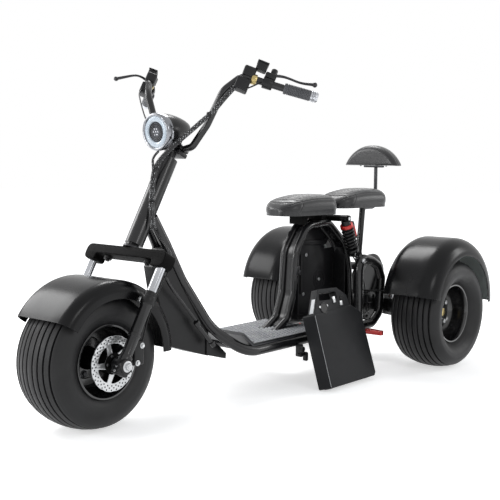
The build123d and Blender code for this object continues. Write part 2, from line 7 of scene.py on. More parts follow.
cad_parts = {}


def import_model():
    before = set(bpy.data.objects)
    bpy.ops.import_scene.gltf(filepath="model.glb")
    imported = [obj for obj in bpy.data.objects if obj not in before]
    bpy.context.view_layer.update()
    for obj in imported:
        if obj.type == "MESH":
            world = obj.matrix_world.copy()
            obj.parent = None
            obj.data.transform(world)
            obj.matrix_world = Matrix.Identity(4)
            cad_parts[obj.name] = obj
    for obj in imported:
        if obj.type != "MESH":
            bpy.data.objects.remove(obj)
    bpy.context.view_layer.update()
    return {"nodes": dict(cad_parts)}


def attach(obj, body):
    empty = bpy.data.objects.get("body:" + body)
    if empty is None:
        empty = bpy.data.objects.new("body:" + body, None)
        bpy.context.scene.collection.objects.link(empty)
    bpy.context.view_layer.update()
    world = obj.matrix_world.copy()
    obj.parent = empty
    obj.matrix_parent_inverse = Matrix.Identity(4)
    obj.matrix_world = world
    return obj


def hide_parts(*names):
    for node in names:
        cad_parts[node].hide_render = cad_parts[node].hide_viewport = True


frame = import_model()

# Layout of the CAD model in millimetres, from the rear axle's middle on the floor
MM = 0.001
MIDDLE_X = 673.5
WHEELBASE = 1390
TRACK_HALF = 340
TYRE_R = 203
RAKE = math.radians(30)
UP = Vector((-math.sin(RAKE), 0, math.cos(RAKE)))
FORWARD = Vector((math.cos(RAKE), 0, math.sin(RAKE)))
SIDES = (("left", 1), ("right", -1))

# Camera, solved from the photograph
CAMERA_AT = (2.447, 2.1229, 0.7999)
CAMERA_YAW = -2.4257
CAMERA_PITCH = -0.1045
CAMERA_ROLL = 0.0047
PHOTO_SIZE = 500
FOCAL_PX = 954.49
SENSOR = 36.0


def at(x, y, z):
    """A layout point in millimetres as a scene point in metres."""
    return Vector(((x - MIDDLE_X) * MM, y * MM, z * MM))


def steered(y, up, forward):
    """A point of the steering head's own frame, in millimetres."""
    return at(WHEELBASE, y, TYRE_R) + (UP * up + FORWARD * forward) * MM


def axes(x, y, z):
    """The turn that lays the local axes along these directions."""
    return Matrix((x, y, z)).transposed().to_4x4()


def basis(origin, z_dir, x_dir=None):
    """A matrix that puts local Z along z_dir."""
    z = Vector(z_dir).normalized()
    x = Vector(x_dir) if x_dir is not None else z.orthogonal()
    x = (x - z * x.dot(z)).normalized()
    y = z.cross(x)
    return Matrix.Translation(origin) @ axes(x, y, z)


def outwards(spot, side, out=0):
    """A placing matrix at a scene point, or out millimetres past it, local Z across the trike."""
    return basis(spot + Vector((0, side * out * MM, 0)), (0, side, 0))


def upright(x, y, z):
    """A placing matrix at a layout point, local Z up."""
    return basis(at(x, y, z), (0, 0, 1), (1, 0, 0))


def sideways(x, y, z, side=1):
    """A placing matrix at a layout point, local Z across the trike."""
    return basis(at(x, y, z), (0, side, 0))


def headwise(y, up, forward):
    """A placing matrix in the steering head's frame, local Z along the steering axis."""
    return basis(steered(y, up, forward), UP, (0, 1, 0))


def shift(z):
    """A step along local Z, in millimetres."""
    return Matrix.Translation((0, 0, z * MM))


# Materials

def add_node(tree, kind, **inputs):
    """Adds a shader node; an input, its spaces as underscores, is a value or another node's output."""
    node = tree.nodes.new("ShaderNode" + kind)
    for name, value in inputs.items():
        socket = node.inputs[name.replace("_", " ")]
        if isinstance(value, bpy.types.NodeSocket):
            tree.links.new(value, socket)
        else:
            socket.default_value = value
    return node


def ramp(tree, source, low, high, start=0.35, end=0.65):
    node = add_node(tree, "ValToRGB", Fac=source)
    for stop, place, colour in zip(node.color_ramp.elements, (start, end), (low, high)):
        stop.position = place
        stop.color = (*colour, 1)
    return node.outputs["Color"]


def spread(tree, source, low, high):
    return add_node(tree, "MapRange", Value=source, To_Min=low, To_Max=high).outputs["Result"]


def noise(tree, scale, detail, stretch):
    place = add_node(tree, "TexCoord").outputs["Object"]
    if stretch:
        place = add_node(tree, "Mapping", Vector=place, Scale=stretch).outputs["Vector"]
    return add_node(tree, "TexNoise", Vector=place, Scale=scale, Detail=detail).outputs["Fac"]


def cells(tree, scale, scatter=1.0):
    place = add_node(tree, "TexCoord").outputs["Object"]
    return add_node(tree, "TexVoronoi", Vector=place, Scale=scale, Randomness=scatter).outputs["Distance"]


def relief(tree, source, strength, distance):
    return add_node(tree, "Bump", Height=source, Strength=strength, Distance=distance).outputs["Normal"]


def finish_of(name, dark, light, rough, metal=0.0, coat=0.0, coat_rough=0.1, tone_scale=9.0,
              grain=None, grain_scale=900.0, grain_depth=0.0, stretch=None, sheen=0.0, spec=0.5):
    """A procedural surface: mottled colour, uneven gloss and a fine relief."""
    made = bpy.data.materials.new(name)
    made.use_nodes = True
    tree = made.node_tree
    shader = tree.nodes["Principled BSDF"]
    tone = noise(tree, tone_scale, 4.0, stretch)
    tree.links.new(ramp(tree, tone, dark, light), shader.inputs["Base Color"])
    gloss = noise(tree, tone_scale * 4, 5.0, stretch)
    tree.links.new(spread(tree, gloss, rough[0], rough[1]), shader.inputs["Roughness"])
    values = {"Metallic": metal, "Specular IOR Level": spec, "Coat Weight": coat,
              "Coat Roughness": coat_rough, "Sheen Weight": sheen}
    for socket, value in values.items():
        shader.inputs[socket].default_value = value
    if grain:
        source = cells(tree, grain_scale) if grain == "cells" else noise(tree, grain_scale, 2.0, stretch)
        tree.links.new(relief(tree, source, 0.6, grain_depth), shader.inputs["Normal"])
    return made


GLOSS = finish_of("gloss_paint", (0.0035, 0.0035, 0.004), (0.006, 0.006, 0.007), (0.21, 0.27), spec=0.18)
SATIN = finish_of("satin_paint", (0.005, 0.005, 0.0055), (0.010, 0.010, 0.011), (0.32, 0.42), spec=0.30,
                  grain="noise", grain_scale=900, grain_depth=0.00008)
MATT = finish_of("matt_metal", (0.0025, 0.0024, 0.0024), (0.005, 0.0048, 0.0048), (0.50, 0.64), spec=0.05,
                 grain="noise", grain_scale=1400, grain_depth=0.00012)
RUBBER = finish_of("tyre_rubber", (0.006, 0.006, 0.0065), (0.014, 0.014, 0.015), (0.42, 0.58), tone_scale=14,
                   spec=0.34, grain="noise", grain_scale=1500, grain_depth=0.0002)
SOFT_RUBBER = finish_of("grip_rubber", (0.085, 0.087, 0.094), (0.14, 0.142, 0.15), (0.5, 0.65),
                        grain="cells", grain_scale=1600, grain_depth=0.0002)
PLASTIC = finish_of("moulded_plastic", (0.008, 0.008, 0.009), (0.014, 0.014, 0.0155), (0.40, 0.52), spec=0.28,
                    grain="cells", grain_scale=1300, grain_depth=0.00015)
CASE = finish_of("case_plastic", (0.008, 0.0085, 0.0098), (0.0125, 0.013, 0.0148), (0.44, 0.56), spec=0.20,
                 grain="cells", grain_scale=1700, grain_depth=0.00018)
CHROME = finish_of("chrome", (0.40, 0.41, 0.43), (0.56, 0.57, 0.60), (0.10, 0.16), metal=1.0)
TUBE = finish_of("tube_paint", (0.006, 0.006, 0.007), (0.011, 0.011, 0.012), (0.21, 0.27), spec=0.46)
RIM_PAINT = finish_of("rim_gloss", (0.004, 0.004, 0.0045), (0.008, 0.008, 0.009), (0.16, 0.24), spec=0.55,
                      coat=0.4, coat_rough=0.1)
BEZEL = finish_of("lamp_bezel_metal", (0.20, 0.205, 0.22), (0.34, 0.35, 0.37), (0.14, 0.24), metal=1.0)
STEEL = finish_of("brushed_steel", (0.50, 0.51, 0.52), (0.66, 0.67, 0.68), (0.28, 0.42), metal=0.9,
                  grain="noise", grain_scale=700, grain_depth=0.00008, stretch=(1, 6, 1))
DARK_STEEL = finish_of("dark_steel", (0.035, 0.035, 0.037), (0.07, 0.07, 0.074), (0.3, 0.45), metal=0.9,
                       grain="noise", grain_scale=900, grain_depth=0.0001)
ZINC = finish_of("yellow_zinc", (0.34, 0.26, 0.10), (0.52, 0.42, 0.20), (0.25, 0.4), metal=1.0)
RED = finish_of("red_anodised", (0.40, 0.010, 0.008), (0.58, 0.020, 0.014), (0.28, 0.4), metal=0.35, coat=0.3)
LEATHER = finish_of("seat_leather", (0.007, 0.007, 0.0082), (0.013, 0.013, 0.015), (0.28, 0.38),
                    coat=0.20, coat_rough=0.25, spec=0.36, sheen=0.20,
                    grain="cells", grain_scale=520, grain_depth=0.0003)
BOARD = finish_of("board_mat", (0.028, 0.029, 0.033), (0.046, 0.047, 0.053), (0.34, 0.46), spec=0.5,
                  grain="noise", grain_scale=800, grain_depth=0.0001)
STUD = finish_of("board_studs", (0.26, 0.265, 0.28), (0.38, 0.39, 0.41), (0.22, 0.32), spec=0.6)
INNER = finish_of("fender_inside", (0.32, 0.355, 0.34), (0.44, 0.48, 0.465), (0.45, 0.6),
                  grain="noise", grain_scale=600, grain_depth=0.0002)
# White plastic of the switch keys; on the battery pack the same pale finish is a painted highlight along its
# edges.
WHITE_AND_PAINTED_HIGHLIGHT = finish_of("white_plastic_and_painted_highlight", (0.62, 0.64, 0.66), (0.74, 0.75, 0.77), (0.3, 0.4))


def braid_of(name):
    """Black sleeve with pale flecks in rows, as on a braided cable."""
    made = finish_of(name, (0.008, 0.008, 0.009), (0.014, 0.014, 0.016), (0.4, 0.55))
    tree = made.node_tree
    shader = tree.nodes["Principled BSDF"]
    flecks = cells(tree, 190, 0.3)
    tree.links.new(ramp(tree, flecks, (0.62, 0.63, 0.64), (0.008, 0.008, 0.009), 0.20, 0.33),
                   shader.inputs["Base Color"])
    tree.links.new(relief(tree, flecks, 0.8, 0.0006), shader.inputs["Normal"])
    return made


def glass_of(name):
    """A dark reflecting lens with a faint facet pattern."""
    made = finish_of(name, (0.010, 0.012, 0.016), (0.10, 0.11, 0.13), (0.06, 0.12), tone_scale=70)
    tree = made.node_tree
    shader = tree.nodes["Principled BSDF"]
    tree.links.new(relief(tree, cells(tree, 150), 0.6, 0.001), shader.inputs["Normal"])
    return made


def ring_light_of(name):
    """The frosted ring round the lens."""
    made = finish_of(name, (0.42, 0.50, 0.58), (0.60, 0.66, 0.72), (0.25, 0.35), coat=0.4)
    shader = made.node_tree.nodes["Principled BSDF"]
    shader.inputs["Emission Color"].default_value = (0.75, 0.88, 1.0, 1)
    shader.inputs["Emission Strength"].default_value = 0.10
    return made


BRAID = braid_of("braided_sleeve")
GLASS = glass_of("lamp_glass")
HALO = ring_light_of("lamp_ring")


# Mesh helpers

def put(name, shape, body, material, smooth=35, replaces=()):
    """Makes a piece of one mesh or a list of them, with its finish, its body and its CAD nodes."""
    mesh = merged(shape) if isinstance(shape, list) else shape
    mesh.name = name
    obj = bpy.data.objects.new(name, mesh)
    bpy.context.scene.collection.objects.link(obj)
    for one in material if isinstance(material, list) else [material]:
        mesh.materials.append(one)
    mesh.shade_smooth()
    sharp_edges(mesh, smooth)
    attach(obj, body)
    if replaces:
        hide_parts(*replaces)
    return obj


def fasteners(name, shape, body, material=STEEL):
    """Bolts, nuts and the like, with crisp edges."""
    put(name, shape, body, material, smooth=30)


def sharp_edges(mesh, degrees):
    bm = bmesh.new()
    bm.from_mesh(mesh)
    limit = math.radians(degrees)
    for edge in bm.edges:
        edge.smooth = len(edge.link_faces) == 2 and edge.calc_face_angle(0) < limit
    bm.to_mesh(mesh)
    bm.free()


def mesh_of(points, faces, weld=0.0):
    """A mesh with its faces turned outwards and, where asked, its close points welded."""
    mesh = bpy.data.meshes.new("piece")
    mesh.from_pydata([tuple(p) for p in points], [], faces)
    bm = bmesh.new()
    bm.from_mesh(mesh)
    if weld:
        bmesh.ops.remove_doubles(bm, verts=bm.verts, dist=weld)
    bmesh.ops.recalc_face_normals(bm, faces=bm.faces)
    bm.to_mesh(mesh)
    bm.free()
    return mesh


def quads(rows, cols, ring_rows=False, ring_cols=True):
    """Faces between rows of points; a ring closes on itself."""
    faces = []
    for i in range(rows if ring_rows else rows - 1):
        here = i * cols
        there = (i + 1) % rows * cols
        for j in range(cols if ring_cols else cols - 1):
            k = (j + 1) % cols
            faces.append((here + j, here + k, there + k, there + j))
    return faces


def ends(rows, cols):
    """The faces that close the first and the last row."""
    return [tuple(range(cols)), tuple(range((rows - 1) * cols, rows * cols))]


def merged(meshes):
    """One mesh out of several."""
    bm = bmesh.new()
    for mesh in meshes:
        bm.from_mesh(mesh)
        bpy.data.meshes.remove(mesh)
    whole = bpy.data.meshes.new("piece")
    bm.to_mesh(whole)
    bm.free()
    return whole


def flipped(mesh):
    """The same mesh on the trike's other side."""
    copy = mesh.copy()
    copy.transform(Matrix.Scale(-1, 4, (0, 1, 0)))
    copy.flip_normals()
    return copy


def lathe(profile, place, segments):
    """Turns (radius, along) points in millimetres about local Z of a placing matrix."""
    points = []
    for step in range(segments):
        angle = 2 * math.pi * step / segments
        for radius, along in profile:
            local = Vector((radius * math.cos(angle), radius * math.sin(angle), along)) * MM
            points.append(place @ local)
    return mesh_of(points, quads(segments, len(profile), True, False), weld=1e-6)


def sweep(path, radius, sides, closed=False):
    """A round tube along points in metres; radius is one number or one per point, in millimetres."""
    count = len(path)
    radii = radius if isinstance(radius, list) else [radius] * count
    points = []
    side = None
    for k, centre in enumerate(path):
        before = path[k - 1] if k or closed else centre
        after = path[(k + 1) % count] if k < count - 1 or closed else centre
        along = (after - before).normalized()
        side = along.orthogonal() if side is None else side - along * side.dot(along)
        side = side.normalized()
        other = along.cross(side)
        for j in range(sides):
            angle = 2 * math.pi * j / sides
            points.append(centre + (side * math.cos(angle) + other * math.sin(angle)) * radii[k] * MM)
    return mesh_of(points, quads(count, sides, closed) + ([] if closed else ends(count, sides)))


def smooth_line(points, steps):
    """Points along the smooth NURBS line that has these control points, in metres."""
    curve = bpy.data.curves.new("line", "CURVE")
    curve.dimensions = "3D"
    spline = curve.splines.new("NURBS")
    spline.points.add(len(points) - 1)
    for knot, point in zip(spline.points, points):
        knot.co = (*point, 1)
    spline.order_u = 3
    spline.use_endpoint_u = True
    spline.resolution_u = steps
    holder = bpy.data.objects.new("line", curve)
    line = bpy.data.meshes.new_from_object(holder)
    found = [Vector(v.co) for v in line.vertices]
    bpy.data.objects.remove(holder)
    bpy.data.curves.remove(curve)
    bpy.data.meshes.remove(line)
    return found


def slab(outline, holes, thick, place, bevel, resolution=1):
    """A flat plate with holes from (x, y) outlines in millimetres, standing on local Z = 0."""
    curve = bpy.data.curves.new("slab", "CURVE")
    curve.dimensions = "2D"
    curve.fill_mode = "BOTH"
    curve.extrude = (thick / 2 - bevel) * MM
    curve.bevel_depth = bevel * MM
    curve.bevel_resolution = resolution
    curve.offset = -bevel * MM
    for loop in [outline] + list(holes):
        spline = curve.splines.new("POLY")
        spline.points.add(len(loop) - 1)
        for knot, (x, y) in zip(spline.points, loop):
            knot.co = (x * MM, y * MM, 0, 1)
        spline.use_cyclic_u = True
    holder = bpy.data.objects.new("slab", curve)
    mesh = bpy.data.meshes.new_from_object(holder)
    bpy.data.objects.remove(holder)
    bpy.data.curves.remove(curve)
    mesh.transform(place @ shift(thick / 2))
    bm = bmesh.new()
    bm.from_mesh(mesh)
    bmesh.ops.remove_doubles(bm, verts=bm.verts, dist=2e-6)
    bm.to_mesh(mesh)
    bm.free()
    return mesh


def circle(radius, count, centre=(0, 0)):
    angles = [2 * math.pi * k / count for k in range(count)]
    return [(centre[0] + radius * math.cos(a), centre[1] + radius * math.sin(a)) for a in angles]


def rounded(points, radius, steps):
    """A closed outline with its corners rounded."""
    out = []
    count = len(points)
    for k in range(count):
        corner = Vector(points[k])
        before = Vector(points[k - 1]) - corner
        after = Vector(points[(k + 1) % count]) - corner
        angle = before.angle(after)
        reach = min(radius / math.tan(angle / 2), before.length * 0.45, after.length * 0.45)
        start = corner + before.normalized() * reach
        end = corner + after.normalized() * reach
        for j in range(steps + 1):
            t = j / steps
            out.append(tuple(start * (1 - t) ** 2 + corner * 2 * t * (1 - t) + end * t * t))
    return out


def block(size, place, bevel):
    """A box with rounded edges, centred on its placing matrix."""
    bm = bmesh.new()
    bmesh.ops.create_cube(bm, size=1.0)
    bmesh.ops.scale(bm, vec=Vector(size) * MM, verts=bm.verts)
    bmesh.ops.bevel(bm, geom=bm.edges, offset=bevel * MM, segments=3, profile=0.5, affect="EDGES")
    mesh = bpy.data.meshes.new("piece")
    bm.to_mesh(mesh)
    bm.free()
    mesh.transform(place)
    return mesh


def hex_bolt(place, across, height):
    """A hexagon head on a washer, standing along local Z."""
    radius = across / math.sqrt(3)
    head = [(0, height), (radius * 0.86, height), (radius, height - 1), (radius, 0.4), (0, 0.4)]
    ring = [(0, 1.4), (radius * 1.35, 1.4), (radius * 1.45, 1.0), (radius * 1.45, 0), (0, 0)]
    return merged([lathe(head, place, 6), lathe(ring, place, 20)])


def cap_bolt(place, radius, height):
    """A socket-head bolt with its hexagon recess."""
    body = [(radius * 0.45, height - 2.5), (radius * 0.5, height), (radius * 0.9, height),
            (radius, height - 0.7), (radius, 0), (0, 0)]
    skin = lathe(body, place, 20)
    pit = lathe([(0, height - 2.5), (radius * 0.45, height - 2.5)], place, 20)
    return merged([skin, pit])


def dome_bolt(place, radius, height):
    profile = [(0, height), (radius * 0.45, height * 0.93), (radius * 0.8, height * 0.65),
               (radius, height * 0.2), (radius, 0), (0, 0)]
    return lathe(profile, place, 18)


# Wheels

FRONT_BEAD_HALF = 86
REAR_BEAD_HALF = 62
BEAD_R = 108
SEAT_R = 101.2
GROOVES = (-72, -52, -32, -12, 12, 32, 52, 72)
GROOVE_HALF = 2.6
GROOVE_DEPTH = 6.5
CROWN_DROP = 15
SHOULDER = 80


def crown_radius(y):
    """The tread's radius at a distance from the middle."""
    return TYRE_R - CROWN_DROP * (abs(y) / SHOULDER) ** 2.2


def tread_profile():
    points = [(crown_radius(-SHOULDER), -SHOULDER)]
    for y in GROOVES:
        edge = GROOVE_HALF + 0.9
        points.append((crown_radius(y - edge) - 0.2, y - edge - 1.2))
        points.append((crown_radius(y - edge) - 0.9, y - GROOVE_HALF))
        points.append((crown_radius(y) - GROOVE_DEPTH, y - GROOVE_HALF * 0.75))
        points.append((crown_radius(y) - GROOVE_DEPTH, y + GROOVE_HALF * 0.75))
        points.append((crown_radius(y + edge) - 0.9, y + GROOVE_HALF))
        points.append((crown_radius(y + edge) - 0.2, y + edge + 1.2))
    points.append((crown_radius(SHOULDER), SHOULDER))
    return points


def wall_profile(bead_half):
    """One sidewall from the shoulder to the bead, with its moulded rings."""
    wall = []
    start = Vector((crown_radius(SHOULDER), SHOULDER))
    end = Vector((BEAD_R, bead_half))
    middle = Vector(((start.x + end.x) / 2, 100))
    control = middle * 2 - (start + end) / 2
    for k in range(1, 29):
        t = k / 28
        point = start * (1 - t) ** 2 + control * 2 * t * (1 - t) + end * t * t
        swell = 0.0
        for ring_t, ring_h in ((0.10, 0.9), (0.16, 0.9), (0.80, 1.2), (0.88, 1.6)):
            swell += ring_h * math.exp(-((t - ring_t) / 0.014) ** 2)
        wall.append((point.x, min(point.y + swell, 99.8)))
    return wall


def tyre_mesh(bead_half, place):
    wall = wall_profile(bead_half)
    profile = [(SEAT_R, -bead_half)] + [(r, -y) for r, y in reversed(wall)]
    profile += tread_profile() + wall + [(SEAT_R, bead_half)]
    return lathe(profile, place, 128)


def wheel_place(x, y):
    """Local Z of a wheel piece is the axle, towards the trike's left."""
    return basis(at(x, y, TYRE_R), (0, 1, 0), (1, 0, 0))


def rim_profile(bead_half, disc_y, dish):
    """The barrel with rolled lips and a dished web, from the far lip to the near one and back."""
    lip = bead_half + 5
    outside = [(106.5, -lip), (108, -lip + 1.2), (107.6, -bead_half + 0.2), (103, -bead_half + 1)]
    outside += [(101.4, -bead_half + 4), (101.4, bead_half - 4), (103, bead_half - 1)]
    outside += [(107.6, bead_half - 0.2), (108, lip - 1.2), (106.5, lip)]
    inside = [(102, lip - 0.6), (98, bead_half - 3), (96, bead_half - 12), (93, disc_y + 26)]
    inside += [(90, disc_y + 16), (80, disc_y + 6), (62, disc_y + 4)]
    inside += [(58, disc_y + 4 + dish), (33, disc_y + 4 + dish)]
    back = [(33, disc_y - 4), (62, disc_y - 4), (88, disc_y - 4), (95, disc_y - 14), (96, -bead_half + 12)]
    back += [(98, -bead_half + 3), (102, -lip + 0.6), (106.5, -lip)]
    return outside + inside + back


def ring_of(count, radius, place, maker):
    """Repeats a small piece round a wheel face."""
    return [maker(place @ Matrix.Translation((x * MM, y * MM, 0))) for x, y in circle(radius, count)]


def front_wheel():
    place = wheel_place(WHEELBASE, 0)
    put("front_tyre_ribbed", tyre_mesh(FRONT_BEAD_HALF, place), "front_wheel", RUBBER,
        smooth=30, replaces=["front_tyre"])
    rim = lathe(rim_profile(FRONT_BEAD_HALF, -8, 4), place, 96)
    put("front_rim_shell", rim, "front_wheel", RIM_PAINT, replaces=["front_rim"])
    hub = [(0, 57.6), (20, 57.6), (24, 56), (29, 52), (31, 46), (31, 12), (34, 4), (34, -12), (31, -20),
           (31, -50), (26, -57.6), (0, -57.6)]
    put("front_hub", lathe(hub, place, 48), "front_wheel", MATT, smooth=30)
    bolts = ring_of(5, 47, place, lambda m: hex_bolt(m, 13, 8))
    fasteners("front_rim_bolts", bolts, "front_wheel", DARK_STEEL)
    brake_rotor(place)


ROTOR_SPOKES = 5


def brake_rotor(place):
    """The perforated steel rotor on its spoked carrier."""
    holes = []
    for row, radius in enumerate((75.4, 69.2, 63)):
        for k in range(26):
            angle = 2 * math.pi * (k + row * 0.5) / 26
            holes.append(circle(2.4, 8, (radius * math.cos(angle), radius * math.sin(angle))))
    for k in range(ROTOR_SPOKES):
        middle = 2 * math.pi * (k + 0.5) / ROTOR_SPOKES
        wide = math.pi / ROTOR_SPOKES
        window = []
        for share in (-0.80, -0.4, 0, 0.4, 0.80):
            window.append((57 * math.cos(middle + share * wide), 57 * math.sin(middle + share * wide)))
        for share in (0.50, -0.50):
            turned = middle + share * wide + 0.12
            window.append((30 * math.cos(turned), 30 * math.sin(turned)))
        holes.append(rounded(window, 4, 3))
    holes.append(circle(15, 32))
    rim_line = []
    for k in range(144):
        angle = 2 * math.pi * k / 144
        radius = 79.8 - 1.3 * (0.5 + 0.5 * math.cos(12 * angle)) ** 4
        rim_line.append((radius * math.cos(angle), radius * math.sin(angle)))
    flat = place @ shift(110.2)
    rotor = slab(rim_line, holes, 3.6, flat, bevel=0.3)
    put("brake_rotor", rotor, "front_wheel", STEEL, smooth=30, replaces=["front_brake_disc"])
    carrier = [(15, 58.2), (29, 58.2), (30, 60), (30, 104), (28, 110), (15, 110)]
    put("rotor_carrier", lathe(carrier, place, 48), "front_wheel", MATT, smooth=30)
    spider = lathe([(15, 113.6), (30, 113.6), (31, 114.4), (30, 115.4), (15, 115.6)], place, 40)
    put("rotor_spider", spider, "front_wheel", MATT, smooth=30)
    bolts = ring_of(5, 23, place @ shift(115.2), lambda m: dome_bolt(m, 4, 2.5))
    fasteners("rotor_bolts", bolts, "front_wheel", DARK_STEEL)


def rear_wheel(name, side):
    body = f"rear_{name}_wheel"
    place = basis(at(0, side * TRACK_HALF, TYRE_R), (0, side, 0), (1, 0, 0))
    tyre = tyre_mesh(REAR_BEAD_HALF, place)
    put(f"rear_tyre_{name}_ribbed", tyre, body, RUBBER, smooth=30,
        replaces=[f"rear_tyre_{name}"])
    rim = lathe(rim_profile(REAR_BEAD_HALF, -10, 5), place, 96)
    put(f"rear_rim_{name}_shell", rim, body, RIM_PAINT, replaces=[f"rear_rim_{name}"])
    hub = [(13, 5.8), (24, 5.8), (28, 4), (31, 1), (31.5, -50), (26, -57.8), (13, -57.8)]
    put(f"rear_hub_{name}", lathe(hub, place, 48), body, SATIN, smooth=30)
    turn = Matrix.Rotation(math.radians(38), 4, "Z")
    studs = ring_of(4, 50, place @ turn @ shift(-1), lambda m: hex_bolt(m, 15, 15))
    fasteners(f"rear_studs_{name}", studs, body)
    nut = hex_bolt(place @ shift(6.4), 27, 17)
    put(f"rear_axle_nut_{name}", nut, "frame_body", ZINC, smooth=30)


# Mudguards

GUARD_STEPS = 64
GUARD_CENTRE_Z = 236


def guard_loop(crown_r, skirt_r, half, shoulder, thick):
    """The closed section of a mudguard in (radius, across), rolled at both free edges."""
    outer = [(skirt_r, -half)]
    corner_r = crown_r - shoulder
    for k in range(9):
        angle = math.pi / 2 * k / 8
        outer.append((corner_r + shoulder * math.sin(angle), -(half - shoulder) - shoulder * math.cos(angle)))
    outer += [(crown_r, y) for y in (-0.5 * (half - shoulder), 0, 0.5 * (half - shoulder))]
    outer += [(r, -y) for r, y in reversed(outer[:-3])]
    inner = []
    for k, (radius, y) in enumerate(outer):
        before = Vector(outer[max(k - 1, 0)])
        after = Vector(outer[min(k + 1, len(outer) - 1)])
        along = (after - before).normalized()
        inner.append((radius - along.y * thick, y + along.x * thick))
    return outer, inner


def guard_shell(centre, section, start, end):
    """Sweeps a mudguard's section about an axis across the trike, angles in degrees from the front."""
    outer, inner = section
    loop = outer + inner[::-1]
    points = []
    for k in range(GUARD_STEPS + 1):
        angle = math.radians(start + (end - start) * k / GUARD_STEPS)
        for radius, y in loop:
            points.append(centre + Vector((radius * math.cos(angle), y, radius * math.sin(angle))) * MM)
    rows = GUARD_STEPS + 1
    return mesh_of(points, quads(rows, len(loop)) + ends(rows, len(loop)))


def paint_inside(mesh, centre, radius):
    """Gives the faces that look at the wheel the second material."""
    for face in mesh.polygons:
        middle = Vector(face.center) - centre
        out = Vector((middle.x, 0, middle.z)).normalized()
        outward = Vector((0, 1 if middle.y > 0 else -1, 0))
        reach = math.hypot(middle.x, middle.z)
        share = min(max((reach - radius + 0.06) / 0.06, 0), 1)
        looks = face.normal.dot(out * share + outward * (1 - share))
        face.material_index = 1 if looks < -0.1 else 0


def edge_bead(centre, section, start, end, radius):
    """A rolled bead along a mudguard's free edges."""
    outer, inner = section
    middle = [((a[0] + b[0]) / 2, (a[1] + b[1]) / 2) for a, b in zip(outer, inner)]
    path = []
    steps = 40

    def spot(point, angle):
        turned = math.radians(angle)
        return centre + Vector((point[0] * math.cos(turned), point[1], point[0] * math.sin(turned))) * MM

    for k in range(steps + 1):
        path.append(spot(middle[0], start + (end - start) * k / steps))
    path += [spot(point, end) for point in middle[1:-1]]
    for k in range(steps + 1):
        path.append(spot(middle[-1], end + (start - end) * k / steps))
    path += [spot(point, start) for point in reversed(middle[1:-1])]
    return sweep(path, radius, 8, closed=True)


def front_mudguard():
    centre = at(WHEELBASE - 16, 0, TYRE_R + 7)
    section = guard_loop(225, 175, 118, 34, 3)
    shell = guard_shell(centre, section, 34.5, 181)
    put("front_mudguard", shell, "steering", GLOSS, smooth=50, replaces=["front_fender"])
    bead = edge_bead(centre, section, 34.8, 180.7, 1.7)
    put("front_mudguard_edge", bead, "steering", GLOSS, smooth=60)
    parts = []
    for _, side in SIDES:
        for up, forward in ((196, 0), (180, -22)):
            start = steered(side * 117, up, forward)
            parts.append(lathe([(0, 9), (7, 9), (9, 7), (10, 0), (0, 0)], outwards(start, side), 24))
            parts.append(dome_bolt(outwards(start, side, 9), 6, 3.5))
    fasteners("front_mudguard_bolts", parts, "steering")


def rear_mudguard(name, side):
    centre = at(0, side * TRACK_HALF, GUARD_CENTRE_Z)
    section = guard_loop(246, 184, 112, 60, 3)
    shell = guard_shell(centre, section, 12.5, 182)
    paint_inside(shell, centre, 0.246)
    put(f"rear_mudguard_{name}", shell, "frame_body", [GLOSS, INNER], smooth=50,
        replaces=[f"rear_fender_{name}"])
    bead = edge_bead(centre, section, 12.8, 181.7, 1.9)
    put(f"rear_mudguard_edge_{name}", bead, "frame_body", GLOSS, smooth=60)
    stays = []
    axle = at(0, side * 225.5, TYRE_R)
    for angle, reach in ((36, 218), (90, 250), (158, 218)):
        turned = math.radians(angle)
        along = Vector((math.cos(turned), 0, math.sin(turned)))
        flat = axes(along, (-along.z, 0, along.x), (0, -1, 0))
        outline = [(20, -15), (reach - 22, -11), (reach - 22, 11), (20, 15)]
        stays.append(slab(rounded(outline, 5, 3), [], 5, Matrix.Translation(axle) @ flat, 0.8))
        spot = axle + along * (reach - 34) * MM
        stays.append(hex_bolt(outwards(spot, -side, 3), 10, 6))
    put(f"rear_stays_{name}", stays, "frame_body", SATIN)


# Fork and steering

FORK_HALF = 150
LAMP_AT = (1120, 0, 852)
LAMP_TILT = 5


def fork_leg(name, side):
    place = headwise(side * FORK_HALF, 0, 0)
    slider = [(0, -20), (17, -20), (20, -14), (20, 26), (17, 31), (16, 36), (16, 84), (18, 86), (18, 96),
              (16, 98), (16, 176), (18.5, 181), (18.5, 188), (0, 188)]
    collar = [(14.3, 186), (20, 186), (21, 188), (21, 206), (20, 208), (18.5, 210), (18.5, 220), (15.5, 224),
              (14.3, 224)]
    stanchion = [(14, 180), (14, 317)]
    put(f"fork_slider_{name}", lathe(slider, place, 40), "steering", TUBE,
        replaces=[f"fork_{name}"])
    put(f"fork_collar_{name}", lathe(collar, place, 40), "steering", SATIN)
    put(f"fork_stanchion_{name}", lathe(stanchion, place, 40), "steering", CHROME)
    boss = [(8.2, -21.5), (21, -21.5), (22, -20), (22, 20), (21, 21.5), (8.2, 21.5)]
    shoe = lathe(boss, sideways(WHEELBASE, side * FORK_HALF, TYRE_R), 40)
    foot = block((34, 40, 30), headwise(side * FORK_HALF, -14, 0), 5)
    put(f"fork_shoe_{name}", [shoe, foot], "steering", SATIN)
    pinch = [cap_bolt(basis(steered(side * FORK_HALF, up, 17), FORWARD), 4, 4) for up in (-22, -8)]
    fasteners(f"fork_pinch_{name}", pinch, "steering")


